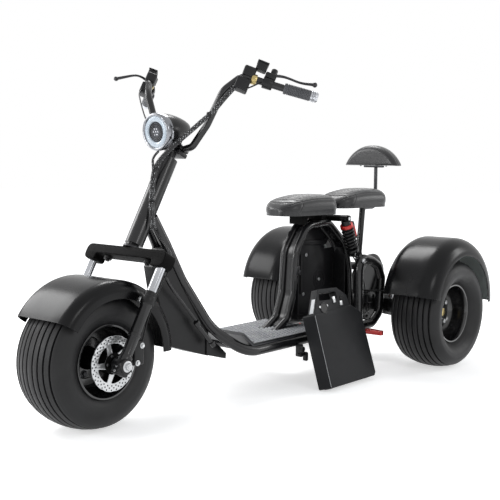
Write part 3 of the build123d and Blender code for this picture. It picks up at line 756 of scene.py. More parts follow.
def front_spindle():
    parts = []
    for _, side in SIDES:
        spot = sideways(WHEELBASE, side * 171.6, TYRE_R, side)
        parts.append(hex_bolt(spot, 19, 11))
        parts.append(lathe([(0, 13), (5, 13), (6, 12), (6, 0)], spot, 20))
    put("front_axle_nuts", parts, "steering", STEEL, smooth=30, replaces=["front_axle"])
    rods = []
    for low, high in ((116, 128), (-128, -58.4)):
        profile = [(0, low), (13, low), (14, low + 1), (14, high - 1), (13, high), (0, high)]
        rods.append(lathe(profile, sideways(WHEELBASE, 0, TYRE_R), 32))
    fasteners("front_axle_spacers", rods, "steering", DARK_STEEL)


def crown_bridge():
    """The arched bar over both legs, with its clamp bolts below."""
    outer = 173
    outline = [(-outer, 296), (-outer, 346), (outer, 346), (outer, 296), (123, 296), (123, 316), (-123, 316),
               (-123, 296)]
    soft = rounded(outline, 22, 6)
    place = basis(steered(0, 0, -23), FORWARD, (0, 1, 0))
    # local X runs to the left and local Y up the steering axis
    shape = slab(soft, [], 46, place, 3.0, 3)
    put("fork_bridge", shape, "steering", MATT, replaces=["fork_crown"])
    parts = []
    for y in (-88, 0, 88):
        if y:
            parts.append(lathe([(0, 10), (11, 10), (13, 8), (13, 0), (0, 0)],
                               basis(steered(y, 316, 0), -UP), 24))
            parts.append(cap_bolt(basis(steered(y, 306, 0), -UP), 7, 5))
    put("fork_bridge_bolts", parts, "steering", SATIN, smooth=30)
    bottom = [(0, 355), (27, 355), (29, 353), (29, 347), (0, 347)]
    race = lathe(bottom, basis(steered(0, 0, 0), UP), 40)
    fasteners("lower_race", race, "steering", DARK_STEEL)


def lamp_place():
    tilt = math.radians(LAMP_TILT)
    back = Vector((-math.cos(tilt), 0, math.sin(tilt)))
    return basis(at(*LAMP_AT), back, (0, 1, 0))


def headlight():
    place = lamp_place()
    shell = [(56.6, 3), (57.4, 18), (55.5, 24), (53.5, 40), (51, 56), (46, 76), (39, 96), (30.5, 116),
             (21.5, 132), (14, 139), (0, 140)]
    put("lamp_shell", lathe(shell, place, 72), "steering", GLOSS, replaces=["headlight"])
    bezel = [(47.5, 4.4), (48.6, 1.2), (51, -0.4), (54, 0), (56.6, 2.2), (58, 6), (58.2, 18), (57.4, 24)]
    put("lamp_bezel", lathe(bezel, place, 72), "steering", BEZEL, smooth=50)
    halo = [(31, 5.5), (32.5, 2.6), (37, 1.4), (43, 1.8), (47.6, 4.0)]
    put("lamp_halo", lathe(halo, place, 72), "steering", HALO, smooth=50)
    rings = [lathe([(r, 4.6), (r + 1.1, 3.4), (r + 2.2, 4.6)], place, 64) for r in (17, 22, 27)]
    put("lamp_rings", rings, "steering", DARK_STEEL, smooth=50)
    glass = [(0, 3.6), (10, 3.9), (20, 4.5), (26, 5.0), (31.4, 5.6)]
    put("lamp_glass", lathe(glass, place, 72), "steering", GLASS, smooth=50,
        replaces=["headlight_lens"])
    front = place @ shift(4.2) @ Matrix.Rotation(math.pi, 4, "X")
    chips = ring_of(6, 9.5, front, lambda m: dome_bolt(m, 3.6, 1.8)) + [dome_bolt(front, 3.6, 1.8)]
    put("lamp_chips", chips, "steering", BEZEL, smooth=50)
    stem = block((26, 34, 26), headwise(0, 722, 2), 4)
    put("lamp_bracket", stem, "steering", SATIN)
    bolts = [hex_bolt(outwards(steered(side * 13, 722, 6), side), 10, 6) for side in (1, -1)]
    fasteners("lamp_bracket_bolts", bolts, "steering")


def clamps():
    """The two-part handlebar clamp with its four bolts."""
    low = block((64, 40, 14), headwise(0, 684, -18), 3)
    high = block((64, 40, 13), headwise(0, 700, -18), 3)
    put("bar_clamp_halves", [low, high], "steering", SATIN, replaces=["bar_clamp"])
    bolts = [cap_bolt(basis(steered(y, 706, -18 + z), UP), 4.5, 4) for y in (-24, 24) for z in (-13, 13)]
    fasteners("bar_clamp_bolts", bolts, "steering")


# Handlebar controls, mirrored from the left except the lever blades

BAR_BEND = steered(205, 926, 30)
GRIP_START = steered(290, 938, -60)
GRIP_END = steered(376, 943, -128)
BAR_ALONG = (GRIP_START - BAR_BEND).normalized()


def both(name, shape, body, material, replaces=()):
    """A piece on the left and its twin on the right."""
    left = merged(shape) if isinstance(shape, list) else shape
    for (side, _), mesh in zip(SIDES, (left, flipped(left))):
        put(f"{name}_{side}", mesh, body, material, replaces=[f"{one}_{side}" for one in replaces])


def grips():
    length = (GRIP_END - GRIP_START).length / MM
    profile = [(11.2, 6), (16, 6), (17, 8), (17, 12), (15.4, 14)]
    for k in range(15):
        t = 16 + k * (length - 40) / 15
        profile += [(15.4, t), (16.6, t + 1.2), (16.6, t + 3.2), (15.4, t + 4.2)]
    profile += [(15.6, length - 20), (11.2, length - 20)]
    place = basis(GRIP_START, (GRIP_END - GRIP_START).normalized())
    both("grip_sleeve", lathe(profile, place, 36), "steering", SOFT_RUBBER, replaces=["grip"])
    cap = [(11.2, length - 20), (15.8, length - 20)]
    for k in range(3):
        t = length - 18 + k * 5
        cap += [(16.4, t), (16.9, t + 1), (16.9, t + 3), (15.2, t + 4)]
    cap += [(15, length - 2), (12, length + 1.5), (0, length + 2)]
    both("grip_end", lathe(cap, place, 36), "steering", CHROME)


LEVER_LINES = {
    "left": [(266, 958, -22), (286, 966, -38), (304, 968, -54), (334, 966, -82), (360, 975, -104),
             (366, 976, -108)],
    "right": [(262, 957, -20), (266, 958, 4), (272, 956, 26), (284, 950, 38), (306, 937, 50), (330, 922, 64)],
}


def lever_blades():
    """The brake levers: the left one lies along its grip, the right one stands forward."""
    ball = [(0, -8), (4, -6.9), (6.9, -4), (8, 0), (6.9, 4), (4, 6.9), (0, 8)]
    for name, side in SIDES:
        line = [steered(side * y, up, forward) for y, up, forward in LEVER_LINES[name]]
        blade = smooth_line(line, 8)
        radii = [5.2 - 1.6 * math.sin(math.pi * k / (len(blade) - 1)) for k in range(len(blade))]
        parts = [sweep(blade, radii, 14), lathe(ball, basis(line[-1], FORWARD), 24)]
        piece = "lever_blade_" + name
        put(piece, parts, "steering", DARK_STEEL, smooth=40, replaces=["lever_" + name])


def levers():
    lever_blades()
    perch = [lathe([(11.4, -15), (17, -15), (18, -13), (18, 13), (17, 15), (11.4, 15)],
                   basis(steered(258, 934, -27), BAR_ALONG), 28)]
    perch.append(block((34, 24, 18), basis(steered(262, 955, -25), UP, BAR_ALONG), 4))
    perch.append(lathe([(4.2, 984), (9, 984), (10, 982), (10, 960), (4.2, 960)],
                       basis(steered(262, 0, -33), UP), 28))
    both("lever_perch", perch, "steering", SATIN)
    tank = block((34, 28, 26), basis(steered(240, 972, 2), UP, BAR_ALONG), 5)
    lid = block((36, 30, 5), basis(steered(240, 986, 2), UP, BAR_ALONG), 2)
    both("fluid_tank", [tank, lid], "steering", PLASTIC)
    screws = [dome_bolt(basis(steered(240, 988, 2) + BAR_ALONG * k * MM, UP), 2.4, 1.5) for k in (-12, 12)]
    both("fluid_tank_screws", screws, "steering", STEEL)


def switches():
    upper = block((38, 34, 34), basis(steered(214, 944, 18), UP, BAR_ALONG), 6)
    lower = block((42, 34, 40), basis(steered(210, 898, 24), UP, BAR_ALONG), 5)
    both("switch_box", [upper, lower], "steering", PLASTIC, replaces=["controls"])
    keys = []
    for across, lift, size in ((-9, 948, 8), (4, 948, 8), (-3, 936, 7), (8, 934, 5)):
        spot = steered(214, lift, 18) + BAR_ALONG * across * MM - FORWARD * 17 * MM
        keys.append(block((size, size - 1, 5), basis(spot, -FORWARD, BAR_ALONG), 1.4))
    both("switch_keys", keys, "steering", WHITE_AND_PAINTED_HIGHLIGHT)
    clip = [(11.4, -8), (15, -8), (16, -6), (16, 6), (15, 8), (11.4, 8)]
    both("switch_clip", lathe(clip, basis(steered(229, 929, 4), BAR_ALONG), 28), "steering", ZINC)


# Cables and front brake

CABLE_ROUTE = [(208, 905, 34), (180, 850, 40), (160, 791, 46), (132, 764, 46), (100, 731, 44), (78, 696, 51),
               (56, 658, 57), (34, 618, 60), (22, 588, 54), (24, 560, 47), (30, 528, 40), (40, 484, 29),
               (46.5, 449, 14), (47, 420, -10)]
LAMP_CABLE = [(8, 650, 56), (10, 627, 68), (15, 606, 67), (22, 580, 55)]
HOSES = (
    [(252, 934, -14), (250, 900, 14), (236, 884, 24), (214, 880, 26), (206, 888, 28)],
    [(-214, 912, 24), (-205, 880, 58), (-140, 810, 72), (-70, 736, 74), (-30, 706, 60)],
    [(47, 426, -4), (70, 400, -26), (104, 376, -40), (140, 352, -40), (148, 300, -34), (146, 250, -30),
     (140, 160, -30), (136, 92, -50)],
)


def cables():
    """Two braided cables down to the steering head, a short one from the lamp, and thin hoses."""
    parts = []
    aside = Vector((0.755, 0.33, -0.57))
    for offset in (-3.9, 3.9):
        line = smooth_line([steered(*(Vector(p) + aside * offset)) for p in CABLE_ROUTE], 8)
        parts.append(sweep(line, 4.6, 12))
    parts.append(sweep(smooth_line([steered(*p) for p in LAMP_CABLE], 8), 3.8, 12))
    put("braided_cables", parts, "steering", BRAID, smooth=60, replaces=["cable_bundle"])
    line = smooth_line([steered(*p) for p in CABLE_ROUTE], 8)
    ties = []
    for share in (0.16, 0.40, 0.62, 0.86):
        k = int(share * (len(line) - 1))
        ties.append(lathe([(8.6, -3), (10.2, -3), (10.2, 3), (8.6, 3), (8.6, -3)],
                          basis(line[k], line[k + 1] - line[k - 1]), 20))
    put("cable_ties", ties, "steering", PLASTIC, smooth=30)
    hoses = [sweep(smooth_line([steered(*p) for p in path], 8), 2.3, 8) for path in HOSES]
    put("thin_hoses", hoses, "steering", SATIN, smooth=60)


def caliper():
    body = block((38, 24, 72), upright(1312, 124, 224), 6)
    back = block((38, 9, 72), upright(1312, 101, 224), 3)
    put("caliper_halves", [body, back], "steering", SATIN, replaces=["brake_caliper"])
    arm = smooth_line([at(1316, 122, 247), at(1326, 134, 262), steered(150, 78, -8)], 6)
    put("caliper_arm", sweep(arm, 8, 16), "steering", SATIN, smooth=40)
    bolts = [hex_bolt(sideways(x, 136, z), 10, 6) for x, z in ((1302, 244), (1320, 196))]
    fasteners("caliper_bolts", bolts, "steering")


# Seats

def pad_mesh(x0, x1, z0, thick, rear_half, nose_half, rear_round, nose_round):
    """A saddle: flat tall sides, a crowned top that falls to the nose, channels, and seams."""
    rows = 200
    cols = 84
    length = x1 - x0

    def half_width(t):
        x = t * length
        width = rear_half + (nose_half - rear_half) * t
        if x < rear_round:
            width -= rear_round - math.sqrt(max(rear_round ** 2 - (rear_round - x) ** 2, 0))
        if length - x < nose_round:
            gap = length - x
            width -= (nose_round - math.sqrt(max(nose_round ** 2 - (nose_round - gap) ** 2, 0))) * 0.96
        return max(width, 6)

    points = []
    for i in range(rows + 1):
        t = 0.5 - 0.5 * math.cos(math.pi * i / rows)
        half = half_width(t)
        rear_lift = 0.80 + 0.20 * (1 - math.exp(-t * length / 9))
        nose_lift = 0.46 + 0.54 * (1 - math.exp(-(1 - t) * length / 20))
        slope = 1.0 - 0.26 * max((t - 0.40) / 0.60, 0) ** 1.4
        rise = thick * min(rear_lift, nose_lift) * slope
        for j in range(cols + 1):
            a = math.pi * j / cols
            across = math.copysign(abs(math.cos(a)) ** 0.46, math.cos(a))
            up = math.sin(a) ** 0.50
            tuck = 1 - 0.06 * (1 - up) ** 2
            y = half * across * tuck
            z = rise * up * (0.91 + 0.09 * (1 - across * across))
            inner = max(0.0, 1 - abs(across) / 0.80)
            if inner > 0 and 0.05 < t < 0.93:
                bow = 0.7 * (abs(across) / 0.80) ** 2
                phase = (t * length / 25.0 + bow) % 1.0
                groove = math.exp(-((phase - 0.5) / 0.075) ** 2)
                z -= 3.4 * groove * min(1, inner * 6)
            edge = abs(across) if up > 0.4 else 0
            z -= 2.2 * math.exp(-((edge - 0.84) / 0.014) ** 2)
            y -= math.copysign(1.3 * math.exp(-((up - 0.20) / 0.05) ** 2), across)
            if abs(across) > 0.80:
                seam = math.exp(-((t - 0.70 - 0.16 * (1 - up)) / 0.007) ** 2)
                y -= math.copysign(1.6 * seam, across)
            points.append(at(x0 + t * length, y, z0 + z))
    faces = []
    for i in range(rows):
        for j in range(cols):
            a = i * (cols + 1) + j
            faces.append((a, a + 1, a + cols + 2, a + cols + 1))
        a = i * (cols + 1)
        faces.append((a, a + cols + 1, a + 2 * cols + 1, a + cols))
    return mesh_of(points, faces + ends(rows + 1, cols + 1))


SADDLES = (
    ("saddle_front", "seat_front", (292, 549, 570, 72, 107.5, 70, 46, 60)),
    ("saddle_rear", "seat_rear", (-33, 227, 584, 70, 107.5, 70, 48, 58)),
)


def seats():
    for name, node, sizes in SADDLES:
        pad = put(name, pad_mesh(*sizes), "frame_body", LEATHER, smooth=60, replaces=[node])


def backrest():
    """A half-moon pad with a flat foot, bulging at the front, and a seam round its side."""
    half, height, soft = 123, 79, 18
    front_thick, back_thick = 32, 22
    line = []
    for k in range(13):
        line.append((-half + 2 * half * k / 12, 0.0))
    rise = (half ** 2 + height ** 2) / (2 * height)
    sweep_angle = math.asin(half / rise)
    for k in range(1, 36):
        a = sweep_angle - 2 * sweep_angle * k / 36
        line.append((rise * math.sin(a), height - rise + rise * math.cos(a)))
    line = rounded(line[:1] + line[12:], 7, 4)
    centre = Vector((0, height * 0.42))
    points = []
    depths = [-1, -0.97, -0.9, -0.8, -0.66, -0.5, -0.2, 0.2, 0.30, 0.34, 0.38, 0.5, 0.66, 0.8, 0.9, 0.97, 1]
    for depth in depths:
        thick = front_thick if depth > 0 else back_thick
        over = max(abs(depth) * thick - (thick - soft), 0)
        inset = (soft - math.sqrt(max(soft ** 2 - over ** 2, 0))) * (1.5 if depth > 0 else 1.0)
        inset += 1.6 if depth == 0.34 else 0
        for y, z in line:
            away = Vector((y, z)) - centre
            moved = centre + away * max(1 - inset / away.length, 0.1)
            points.append(at(-64 + depth * thick, moved.x, 740.6 + moved.y))
    mesh = mesh_of(points, quads(len(depths), len(line)) + ends(len(depths), len(line)))
    pad = put("backrest_cushion", mesh, "frame_body", LEATHER, smooth=70,
              replaces=["backrest_pad"])
    plate = block((14, 90, 10), upright(-66, 0, 738), 3)
    studs = [dome_bolt(basis(at(-62, y, 741), (0, 0, -1)), 4, 4) for y in (-60, -20, 20, 60)]
    put("backrest_foot", [plate] + studs, "frame_body", DARK_STEEL)


# Battery pack beside the trike

PACK_X = 612
PACK_Y = 248
PACK_THICK = 54
PACK_LEAN = 17


def pack_place():
    lean = math.radians(PACK_LEAN)
    side = Vector((0, math.cos(lean), math.sin(lean)))
    up = Vector((0, -math.sin(lean), math.cos(lean)))
    turn = axes((1, 0, 0), up, -side)
    return Matrix.Translation(at(PACK_X, PACK_Y, 0)) @ turn @ shift(-PACK_THICK), side, up


def battery():
    """The removable pack: a flat case, a cap with a grip opening, sockets and feet."""
    place, side, up = pack_place()
    case_line = rounded([(0, 0), (0, 252), (-216, 258), (-264, 226), (-268, 10), (-258, 0)], 7, 4)
    case = slab(case_line, [], 53.4, place, 2.2, 3)
    put("pack_case", case, "frame_body", CASE, replaces=["battery_pack"])
    cap_line = rounded([(-2, 244), (-4, 254), (-52, 332), (-156, 328), (-203, 296), (-213, 244)], 6, 4)
    slot = rounded([(-46, 293), (-52, 318), (-146, 314), (-146, 289)], 5, 3)
    cap = slab(cap_line, [slot], 30, place @ shift(2), 2.0, 3)
    put("pack_cap", cap, "frame_body", CASE)
    # A pale plate on the cap's sloping corner: a painted highlight.
    plate = slab([(-8, 8), (-8, 92), (8, 92), (8, 8)], [], 1.2,
                 basis(at(PACK_X, PACK_Y, 0) + up * 248 * MM + side * 38 * MM + Vector((0.6 * MM, 0, 0)),
                       Vector((0.84, 0, 0)) + up * 0.53, side), 0.3)
    plate.transform(Matrix.Translation(Vector((-1.5, 0, 0)) * MM))
    put("pack_cap_painted_highlight", plate, "frame_body", WHITE_AND_PAINTED_HIGHLIGHT)

    def on_face(x, z, lift):
        return at(PACK_X + x, PACK_Y, 0) + up * z * MM + side * (PACK_THICK + lift) * MM

    fittings = []
    for x, z in ((-40, 272), (-80, 272)):
        fittings.append(dome_bolt(basis(on_face(x, z, -1), side), 4.5, 3))
    fasteners("pack_studs", fittings, "frame_body")
    dark = [lathe([(0, 1), (15, 1), (17, 2.4), (19, 2.4), (20, 0)], basis(on_face(-60, 266, -1), side), 32)]
    socket = [(0, 0.5), (7, 0.5), (9, 3), (11, 3), (12, 0)]
    dark.append(lathe(socket, basis(on_face(-172, 288, -2), side), 28))
    dark += [block((24, 26, 12), basis(on_face(x, 4, -27), up, (1, 0, 0)), 3) for x in (-22, -226)]
    put("pack_fittings", dark, "frame_body", SATIN)
    pale = [block((22, 12, 5), basis(on_face(-124, 288, 0), side, up), 1.5),
            block((16, 14, 5), basis(on_face(-160, 272, 0), side, up), 1.5)]
    # A pale strip down the case's front edge: a painted highlight.
    edge = sweep([on_face(-2.5, 4, -0.6), on_face(-2.5, 247, -0.6)], 1.0, 8)
    put("pack_edge_painted_highlight", edge, "frame_body", WHITE_AND_PAINTED_HIGHLIGHT)
    put("pack_latches", pale, "frame_body", STEEL)


# Frame details

def shock_piece(name, side):
    """The damper: red cup and reservoir, black coil spring, eyes with bolts."""
    y = side * 96
    top = at(262, y, 552)
    foot = at(204, y, 418)
    along = (foot - top).normalized()
    length = (foot - top).length / MM
    down = basis(top, along, (0, 1, 0))
    body = [(0, 8), (15, 8), (17, 12), (17, 46), (14, 50), (14, length - 26), (0, length - 26)]
    shaft = [(0, 50), (6, 50), (6, length - 8), (0, length - 8)]
    lower = [(8, length - 20), (22, length - 20), (24, length - 16), (22, length - 10), (10, length - 6)]
    dark = [lathe(body, down, 32), lathe(shaft, down, 20), lathe(lower, down, 32)]
    turns = 7
    coil = []
    for k in range(turns * 16 + 1):
        angle = 2 * math.pi * k / 16
        run = 34 + (length - 56) * k / (turns * 16)
        coil.append(down @ (Vector((20 * math.cos(angle), 20 * math.sin(angle), run)) * MM))
    dark.append(sweep(coil, 4.4, 8))
    for end in (top, foot):
        eye = [(0, -15), (11, -15), (13, -13), (13, 13), (11, 15), (0, 15)]
        dark.append(lathe(eye, outwards(end, side), 24))
    offset = Vector((-34, 0, -12)) * MM
    tank = basis(top + offset, along, (0, 1, 0))
    for low, high in ((4, 18), (60, 68)):
        dark.append(lathe([(0, low), (11, low), (13.4, low + 2), (13.4, high), (0, high)], tank, 28))
    put(f"shock_dark_{name}", dark, "frame_body", SATIN, replaces=[f"shock_{name}"])
    red = [lathe([(0, 18), (13, 18), (13, 60), (0, 60)], tank, 32),
           lathe([(15, 24), (23, 24), (24.5, 27), (24.5, 36), (22, 39), (15, 39)], down, 32),
           block((12, 14, 30), basis(top + offset * 0.5 + along * 32 * MM, along, (0, 1, 0)), 3)]
    put(f"shock_red_{name}", red, "frame_body", RED)
    bolts = [hex_bolt(outwards(end, side, 15), 13, 7) for end in (top, foot)]
    fasteners(f"shock_bolts_{name}", bolts, "frame_body")


def bay():
    """The back panel between the loops, with its raised frame, bolts and latch."""
    face = basis(at(0, -29, 0), (0, 1, 0), (-1, 0, 0))

    def line(points):
        return [(-x, z) for x, z in points]

    outline = [(486, 176), (474, 290), (462, 440), (436, 505), (395, 530), (226, 530), (198, 500), (222, 462),
               (222, 432), (138, 432), (132, 340), (122, 176)]
    plate = slab(line(outline), [], 3, face, 0.6)
    walls = [block((4, 56, 240), upright(x, 0, 312), 1) for x in (447, 161)]
    walls.append(block((282, 56, 4), upright(304, 0, 192), 1))
    put("bay_panel", [plate] + walls, "frame_body", PLASTIC, replaces=["battery_bay"])
    outer = rounded(line([(352, 536), (214, 528), (184, 489), (218, 446), (380, 454), (394, 492)]), 8, 3)
    inner = rounded(line([(338, 522), (224, 515), (202, 489), (228, 464), (362, 470), (374, 492)]), 6, 3)
    relief_parts = [slab(outer, [inner], 9, face, 2.0, 2)]
    relief_parts.append(block((9, 10, 150), upright(366, -25, 345), 3))
    relief_parts.append(block((7, 10, 230), upright(146, -25, 300), 3))
    for radius in (22, 34):
        path = [at(253 + radius * math.cos(a), -25.6, 316 + radius * math.sin(a))
                for a in [2 * math.pi * k / 40 for k in range(40)]]
        relief_parts.append(sweep(path, 1.3, 6, closed=True))
    put("bay_relief", relief_parts, "frame_body", PLASTIC)
    bolts = [hex_bolt(sideways(x, -26, z), 8, 3) for x, z in ((332, 414), (348, 269), (253, 316), (152, 392))]
    fasteners("bay_bolts", bolts, "frame_body")
    catch = [block((22, 12, 30), upright(462, 34, 374), 3),
             lathe([(0, 8), (6, 8), (8, 6), (8, 0), (0, 0)], sideways(458, 38, 366), 20)]
    put("bay_latch", catch, "frame_body", DARK_STEEL)


STUD_LINE = [(0, 4.2), (3.6, 3.8), (5.6, 2.4), (6.6, 0)]


def deck():
    """The raised studs of the footboard in staggered rows, its thick edge and its screws."""
    top = 174.0
    pitch = 17.0
    studs = []
    for row in range(18):
        y = -124.5 + row * pitch * 0.866
        for k in range(23):
            x = 446 + (k + 0.5 * (row % 2)) * pitch
            if x < 812 and not (abs(abs(y) - 25) < 17 and x < 590):
                spot = upright(x, y, top - 0.3)
                studs.append(lathe(STUD_LINE, spot, 8))
    slope = Vector((52, 0, 40)).normalized()
    for row in range(18):
        y = -124.5 + row * pitch * 0.866
        for k in range(4):
            spot = at(812, y, 173) + slope * (7 + (k + 0.5 * (row % 2)) * pitch) * MM
            if (spot - at(812, y, 173)).length < 62 * MM and abs(y) < 122:
                studs.append(lathe(STUD_LINE, basis(spot, (-slope.z, 0, slope.x), (0, 1, 0)), 8))
    put("deck_studs", studs, "frame_body", STUD, smooth=60)
    edges = []
    for side in (1, -1):
        run = [at(442, side * 131, 172), at(812, side * 131, 172), at(864, side * 131, 212)]
        edges.append(sweep(run, 3.6, 10))
    put("deck_edges", edges, "frame_body", SATIN, smooth=50)
    screws = [dome_bolt(basis(at(x, y, top), (0, 0, 1)), 6, 3) for x in (470, 790) for y in (-112, 112)]
    fasteners("deck_screws", screws, "frame_body", DARK_STEEL)


def rear_details():
    """The motor's cover, the bolts at the arched arm, thin cables and the folded bracket."""
    cover = [(0, 70), (14, 70), (16, 67), (30, 67), (32, 64), (50, 64), (53, 61), (54.4, 56), (54.4, 30)]
    parts = []
    for _, side in SIDES:
        place = basis(at(36, 0, 198), (0, side, 0), (1, 0, 0))
        parts.append(lathe(cover, place, 48))
        parts += ring_of(6, 44, place @ shift(64), lambda m: hex_bolt(m, 8, 5))
        fins = place @ shift(48)
        parts += ring_of(24, 55, fins, lambda m: block((5, 5, 26), m, 1))
    put("motor_covers", parts, "frame_body", SATIN)
    knots = []
    for _, side in SIDES:
        knots.append(hex_bolt(sideways(62, side * 26, 352, side), 17, 10))
        knots.append(hex_bolt(sideways(214, side * 149, 396, side), 12, 7))
        knots.append(hex_bolt(sideways(228, side * 149, 164, side), 12, 7))
        knots.append(hex_bolt(sideways(0, side * 136, 240, side), 12, 7))
    fasteners("rear_bolts", knots, "frame_body")
    dark = [lathe([(0, -26), (13, -26), (15, -23), (15, 23), (13, 26), (0, 26)], sideways(62, 0, 352), 32)]
    for path in ([(84, 40, 262), (92, 90, 268), (104, 150, 274), (116, 226, 282)],
                 [(60, 58, 240), (88, 70, 300), (130, 60, 380), (190, 50, 440), (225, 36, 500)],
                 [(50, 66, 210), (70, 84, 190), (110, 96, 186), (180, 100, 172), (250, 96, 160)]):
        dark.append(sweep(smooth_line([at(*p) for p in path], 8), 2.6, 8))
    dark.append(block((26, 18, 34), upright(66, 72, 232), 3))
    put("rear_wiring", dark, "frame_body", SATIN, smooth=40)
    folded = [block((12, 26, 44), upright(596, 152, 122), 3),
              block((40, 16, 12), upright(586, 158, 108), 4),
              block((12, 18, 30), upright(572, 160, 98), 4),
              lathe([(0, 10), (8, 10), (10, 8), (10, 0), (0, 0)], sideways(600, 164, 128), 20)]
    put("folded_bracket", folded, "frame_body", SATIN)


def pegs():
    """Flat red pegs with two long slots and toothed edges."""
    for name, side in SIDES:
        outline = [(-17, 0), (-17, 14), (-12, 74), (-4, 80), (6, 80), (11, 74), (17, 14), (17, 0)]
        slots = []
        for x in (-7, 7):
            slots.append(rounded([(x - 3, 18), (x + 3, 18), (x * 0.8 + 2.2, 66), (x * 0.8 - 2.2, 66)], 2, 2))
        flat = axes((1, 0, 0), (0, side, 0), (0, 0, side))
        low = 125 if side > 0 else 141
        place = Matrix.Translation(at(195, side * 146, low)) @ flat
        peg = slab(rounded(outline, 4, 3), slots, 16, place, 1.4)
        put(f"peg_{name}", peg, "frame_body", RED, replaces=[f"foot_peg_{name}"])


def rail_details():
    """The gusset's lower corners, a conduit with its clamps beside the down tube."""
    parts = []
    for _, side in SIDES:
        outline = [(-958, 150), (-958, 214), (-900, 172), (-866, 142), (-868, 124), (-900, 133)]
        parts.append(slab(outline, [], 3, basis(at(0, side * 60 - 1.5, 0), (0, 1, 0), (-1, 0, 0)), 0.5))
    put("gusset_corners", parts, "frame_body", SATIN, smooth=30)
    run = [at(1158, 52, 470), at(1134, 60, 405), at(1068, 66, 331), at(1016, 74, 268)]
    dark = [sweep(smooth_line(run, 8), 5, 12)]
    dark.append(sweep([at(1020, 76, 262), at(962, 92, 190)], 7, 14))
    for x, y, z in ((1150, 54, 448), (1016, 76, 262), (964, 92, 192)):
        dark.append(lathe([(5, -8), (9.5, -8), (10, -7), (10, 7), (9.5, 8), (5, 8)],
                          basis(at(x, y, z), (-0.62, 0.06, -0.76)), 20))
    put("frame_conduit", dark, "frame_body", TUBE, smooth=40)


# Frame pieces that stay as the CAD has them, with their finishes

CAD_FINISH = (
    ("main_frame", TUBE), ("front_gusset", SATIN), ("footboard", BOARD), ("seat_frame", TUBE),
    ("backrest_post", DARK_STEEL), ("seat_post", TUBE), ("axle_housing", SATIN),
    ("swing_arm_left", TUBE), ("swing_arm_right", TUBE),
    ("steering_stem", SATIN), ("handlebar", TUBE),
)
REST_LOW_Z = 546


def carry_over():
    for name, finish in CAD_FINISH:
        obj = frame["nodes"][name]
        obj.data.materials.clear()
        obj.data.materials.append(finish)
        obj.data.shade_smooth()
        sharp_edges(obj.data, 28)
    rests = frame["nodes"]["seat_frame"]
    rests.data.materials.append(MATT)
    for face in rests.data.polygons:
        if (rests.matrix_world @ face.center).z > REST_LOW_Z * MM:
            face.material_index = 1


# Stage, light and camera

FLOOR_GLOW = 0.58
LAMPS = (
    ("overhead", (-0.9, -0.9, 2.4), (-0.1, 0.0, 0.4), (1.1, 0.7), 28),
    ("front_right", (3.0, -1.1, 1.1), (0.2, 0.0, 0.4), (0.4, 1.1), 26),
    ("far_right", (1.0, -1.95, 1.75), (-0.4, -0.3, 0.3), (1.5, 1.1), 32),
    ("left", (0.6, 3.2, 1.9), (-0.1, 0.0, 0.3), (1.0, 0.6), 12),
    ("rear_left", (-2.4, 1.8, 1.3), (-0.5, 0.3, 0.4), (0.4, 1.1), 12),
)
FLOOR_FADE = (0.8, 1.6)
FLOOR_HALF = 14
SKY_LIGHT = 0.45


def math_of(tree, operation, first, second):
    node = tree.nodes.new("ShaderNodeMath")
    node.operation = operation
    tree.links.new(first, node.inputs[0])
    tree.links.new(second, node.inputs[1])
    return node.outputs[0]


def either_ray(tree):
    """One where a camera, glossy or transmission ray looks."""
    rays = add_node(tree, "LightPath").outputs
    found = math_of(tree, "MAXIMUM", rays["Is Camera Ray"], rays["Is Glossy Ray"])
    return math_of(tree, "MAXIMUM", found, rays["Is Transmission Ray"])


def stage():
    """A white floor that keeps the soft shadow near the wheels and fades into the background."""
    corners = [(x * FLOOR_HALF, y * FLOOR_HALF, 0) for x, y in ((-1, -1), (1, -1), (1, 1), (-1, 1))]
    mesh = mesh_of(corners, [(0, 1, 2, 3)])
    mesh.name = "floor"
    floor = bpy.data.objects.new("floor", mesh)
    bpy.context.scene.collection.objects.link(floor)
    made = bpy.data.materials.new("floor_white")
    made.use_nodes = True
    tree = made.node_tree
    tree.nodes.clear()
    away = tree.nodes.new("ShaderNodeVectorMath")
    away.operation = "LENGTH"
    tree.links.new(add_node(tree, "TexCoord").outputs["Object"], away.inputs[0])
    fade = add_node(tree, "MapRange", Value=away.outputs["Value"], From_Min=FLOOR_FADE[0],
                    From_Max=FLOOR_FADE[1], To_Min=FLOOR_GLOW, To_Max=1.0)
    share = math_of(tree, "MULTIPLY", either_ray(tree), fade.outputs["Result"])
    surface = tree.nodes.new("ShaderNodeAddShader")
    lit = add_node(tree, "BsdfDiffuse", Color=(0.86, 0.86, 0.86, 1))
    tree.links.new(lit.outputs[0], surface.inputs[0])
    tree.links.new(add_node(tree, "Emission", Strength=share).outputs[0], surface.inputs[1])
    add_node(tree, "OutputMaterial", Surface=surface.outputs[0])
    mesh.materials.append(made)


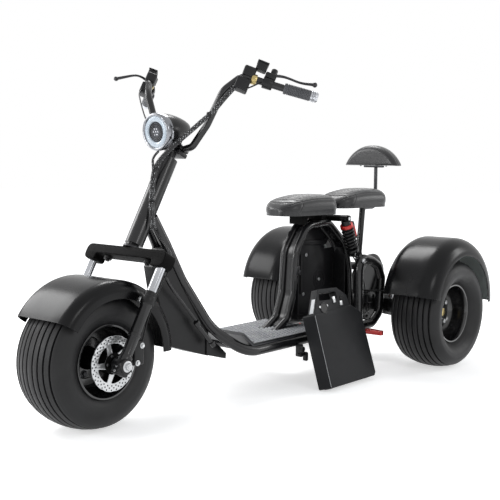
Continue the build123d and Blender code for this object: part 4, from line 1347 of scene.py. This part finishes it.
def world():
    made = bpy.data.worlds.new("studio")
    bpy.context.scene.world = made
    made.use_nodes = True
    tree = made.node_tree
    tree.nodes.clear()
    soft = add_node(tree, "Background", Color=(0.94, 0.97, 1.0, 1), Strength=SKY_LIGHT)
    seen = add_node(tree, "Background", Color=(1, 1, 1, 1), Strength=1.0)
    mix = add_node(tree, "MixShader", Fac=either_ray(tree))
    tree.links.new(soft.outputs[0], mix.inputs[1])
    tree.links.new(seen.outputs[0], mix.inputs[2])
    add_node(tree, "OutputWorld", Surface=mix.outputs[0])


def lights():
    for name, spot, aim, size, power in LAMPS:
        data = bpy.data.lights.new(name, "AREA")
        data.shape = "RECTANGLE"
        data.size = size[0]
        data.size_y = size[1]
        data.energy = power
        lamp = bpy.data.objects.new(name, data)
        lamp.location = spot
        lamp.rotation_mode = "QUATERNION"
        lamp.rotation_quaternion = (Vector(aim) - Vector(spot)).to_track_quat("-Z", "Y")
        bpy.context.scene.collection.objects.link(lamp)


def camera():
    data = bpy.data.cameras.new("camera")
    data.sensor_fit = "HORIZONTAL"
    data.sensor_width = SENSOR
    data.lens = FOCAL_PX / PHOTO_SIZE * SENSOR
    obj = bpy.data.objects.new("camera", data)
    obj.location = CAMERA_AT
    level = math.cos(CAMERA_PITCH)
    look = Vector((level * math.cos(CAMERA_YAW), level * math.sin(CAMERA_YAW), math.sin(CAMERA_PITCH)))
    roll = Matrix.Rotation(CAMERA_ROLL, 3, "Z").to_quaternion()
    obj.rotation_mode = "QUATERNION"
    obj.rotation_quaternion = look.to_track_quat("-Z", "Y") @ roll
    bpy.context.scene.collection.objects.link(obj)
    bpy.context.scene.camera = obj


camera()
world()
lights()
stage()
carry_over()
front_wheel()
for wheel_name, wheel_side in SIDES:
    rear_wheel(wheel_name, wheel_side)
    rear_mudguard(wheel_name, wheel_side)
    shock_piece(wheel_name, wheel_side)
    fork_leg(wheel_name, wheel_side)
front_mudguard()
front_spindle()
crown_bridge()
headlight()
clamps()
grips()
levers()
switches()
cables()
caliper()
seats()
backrest()
battery()
bay()
deck()
rear_details()
rail_details()
pegs()

bpy.context.scene.view_settings.view_transform = "Standard"
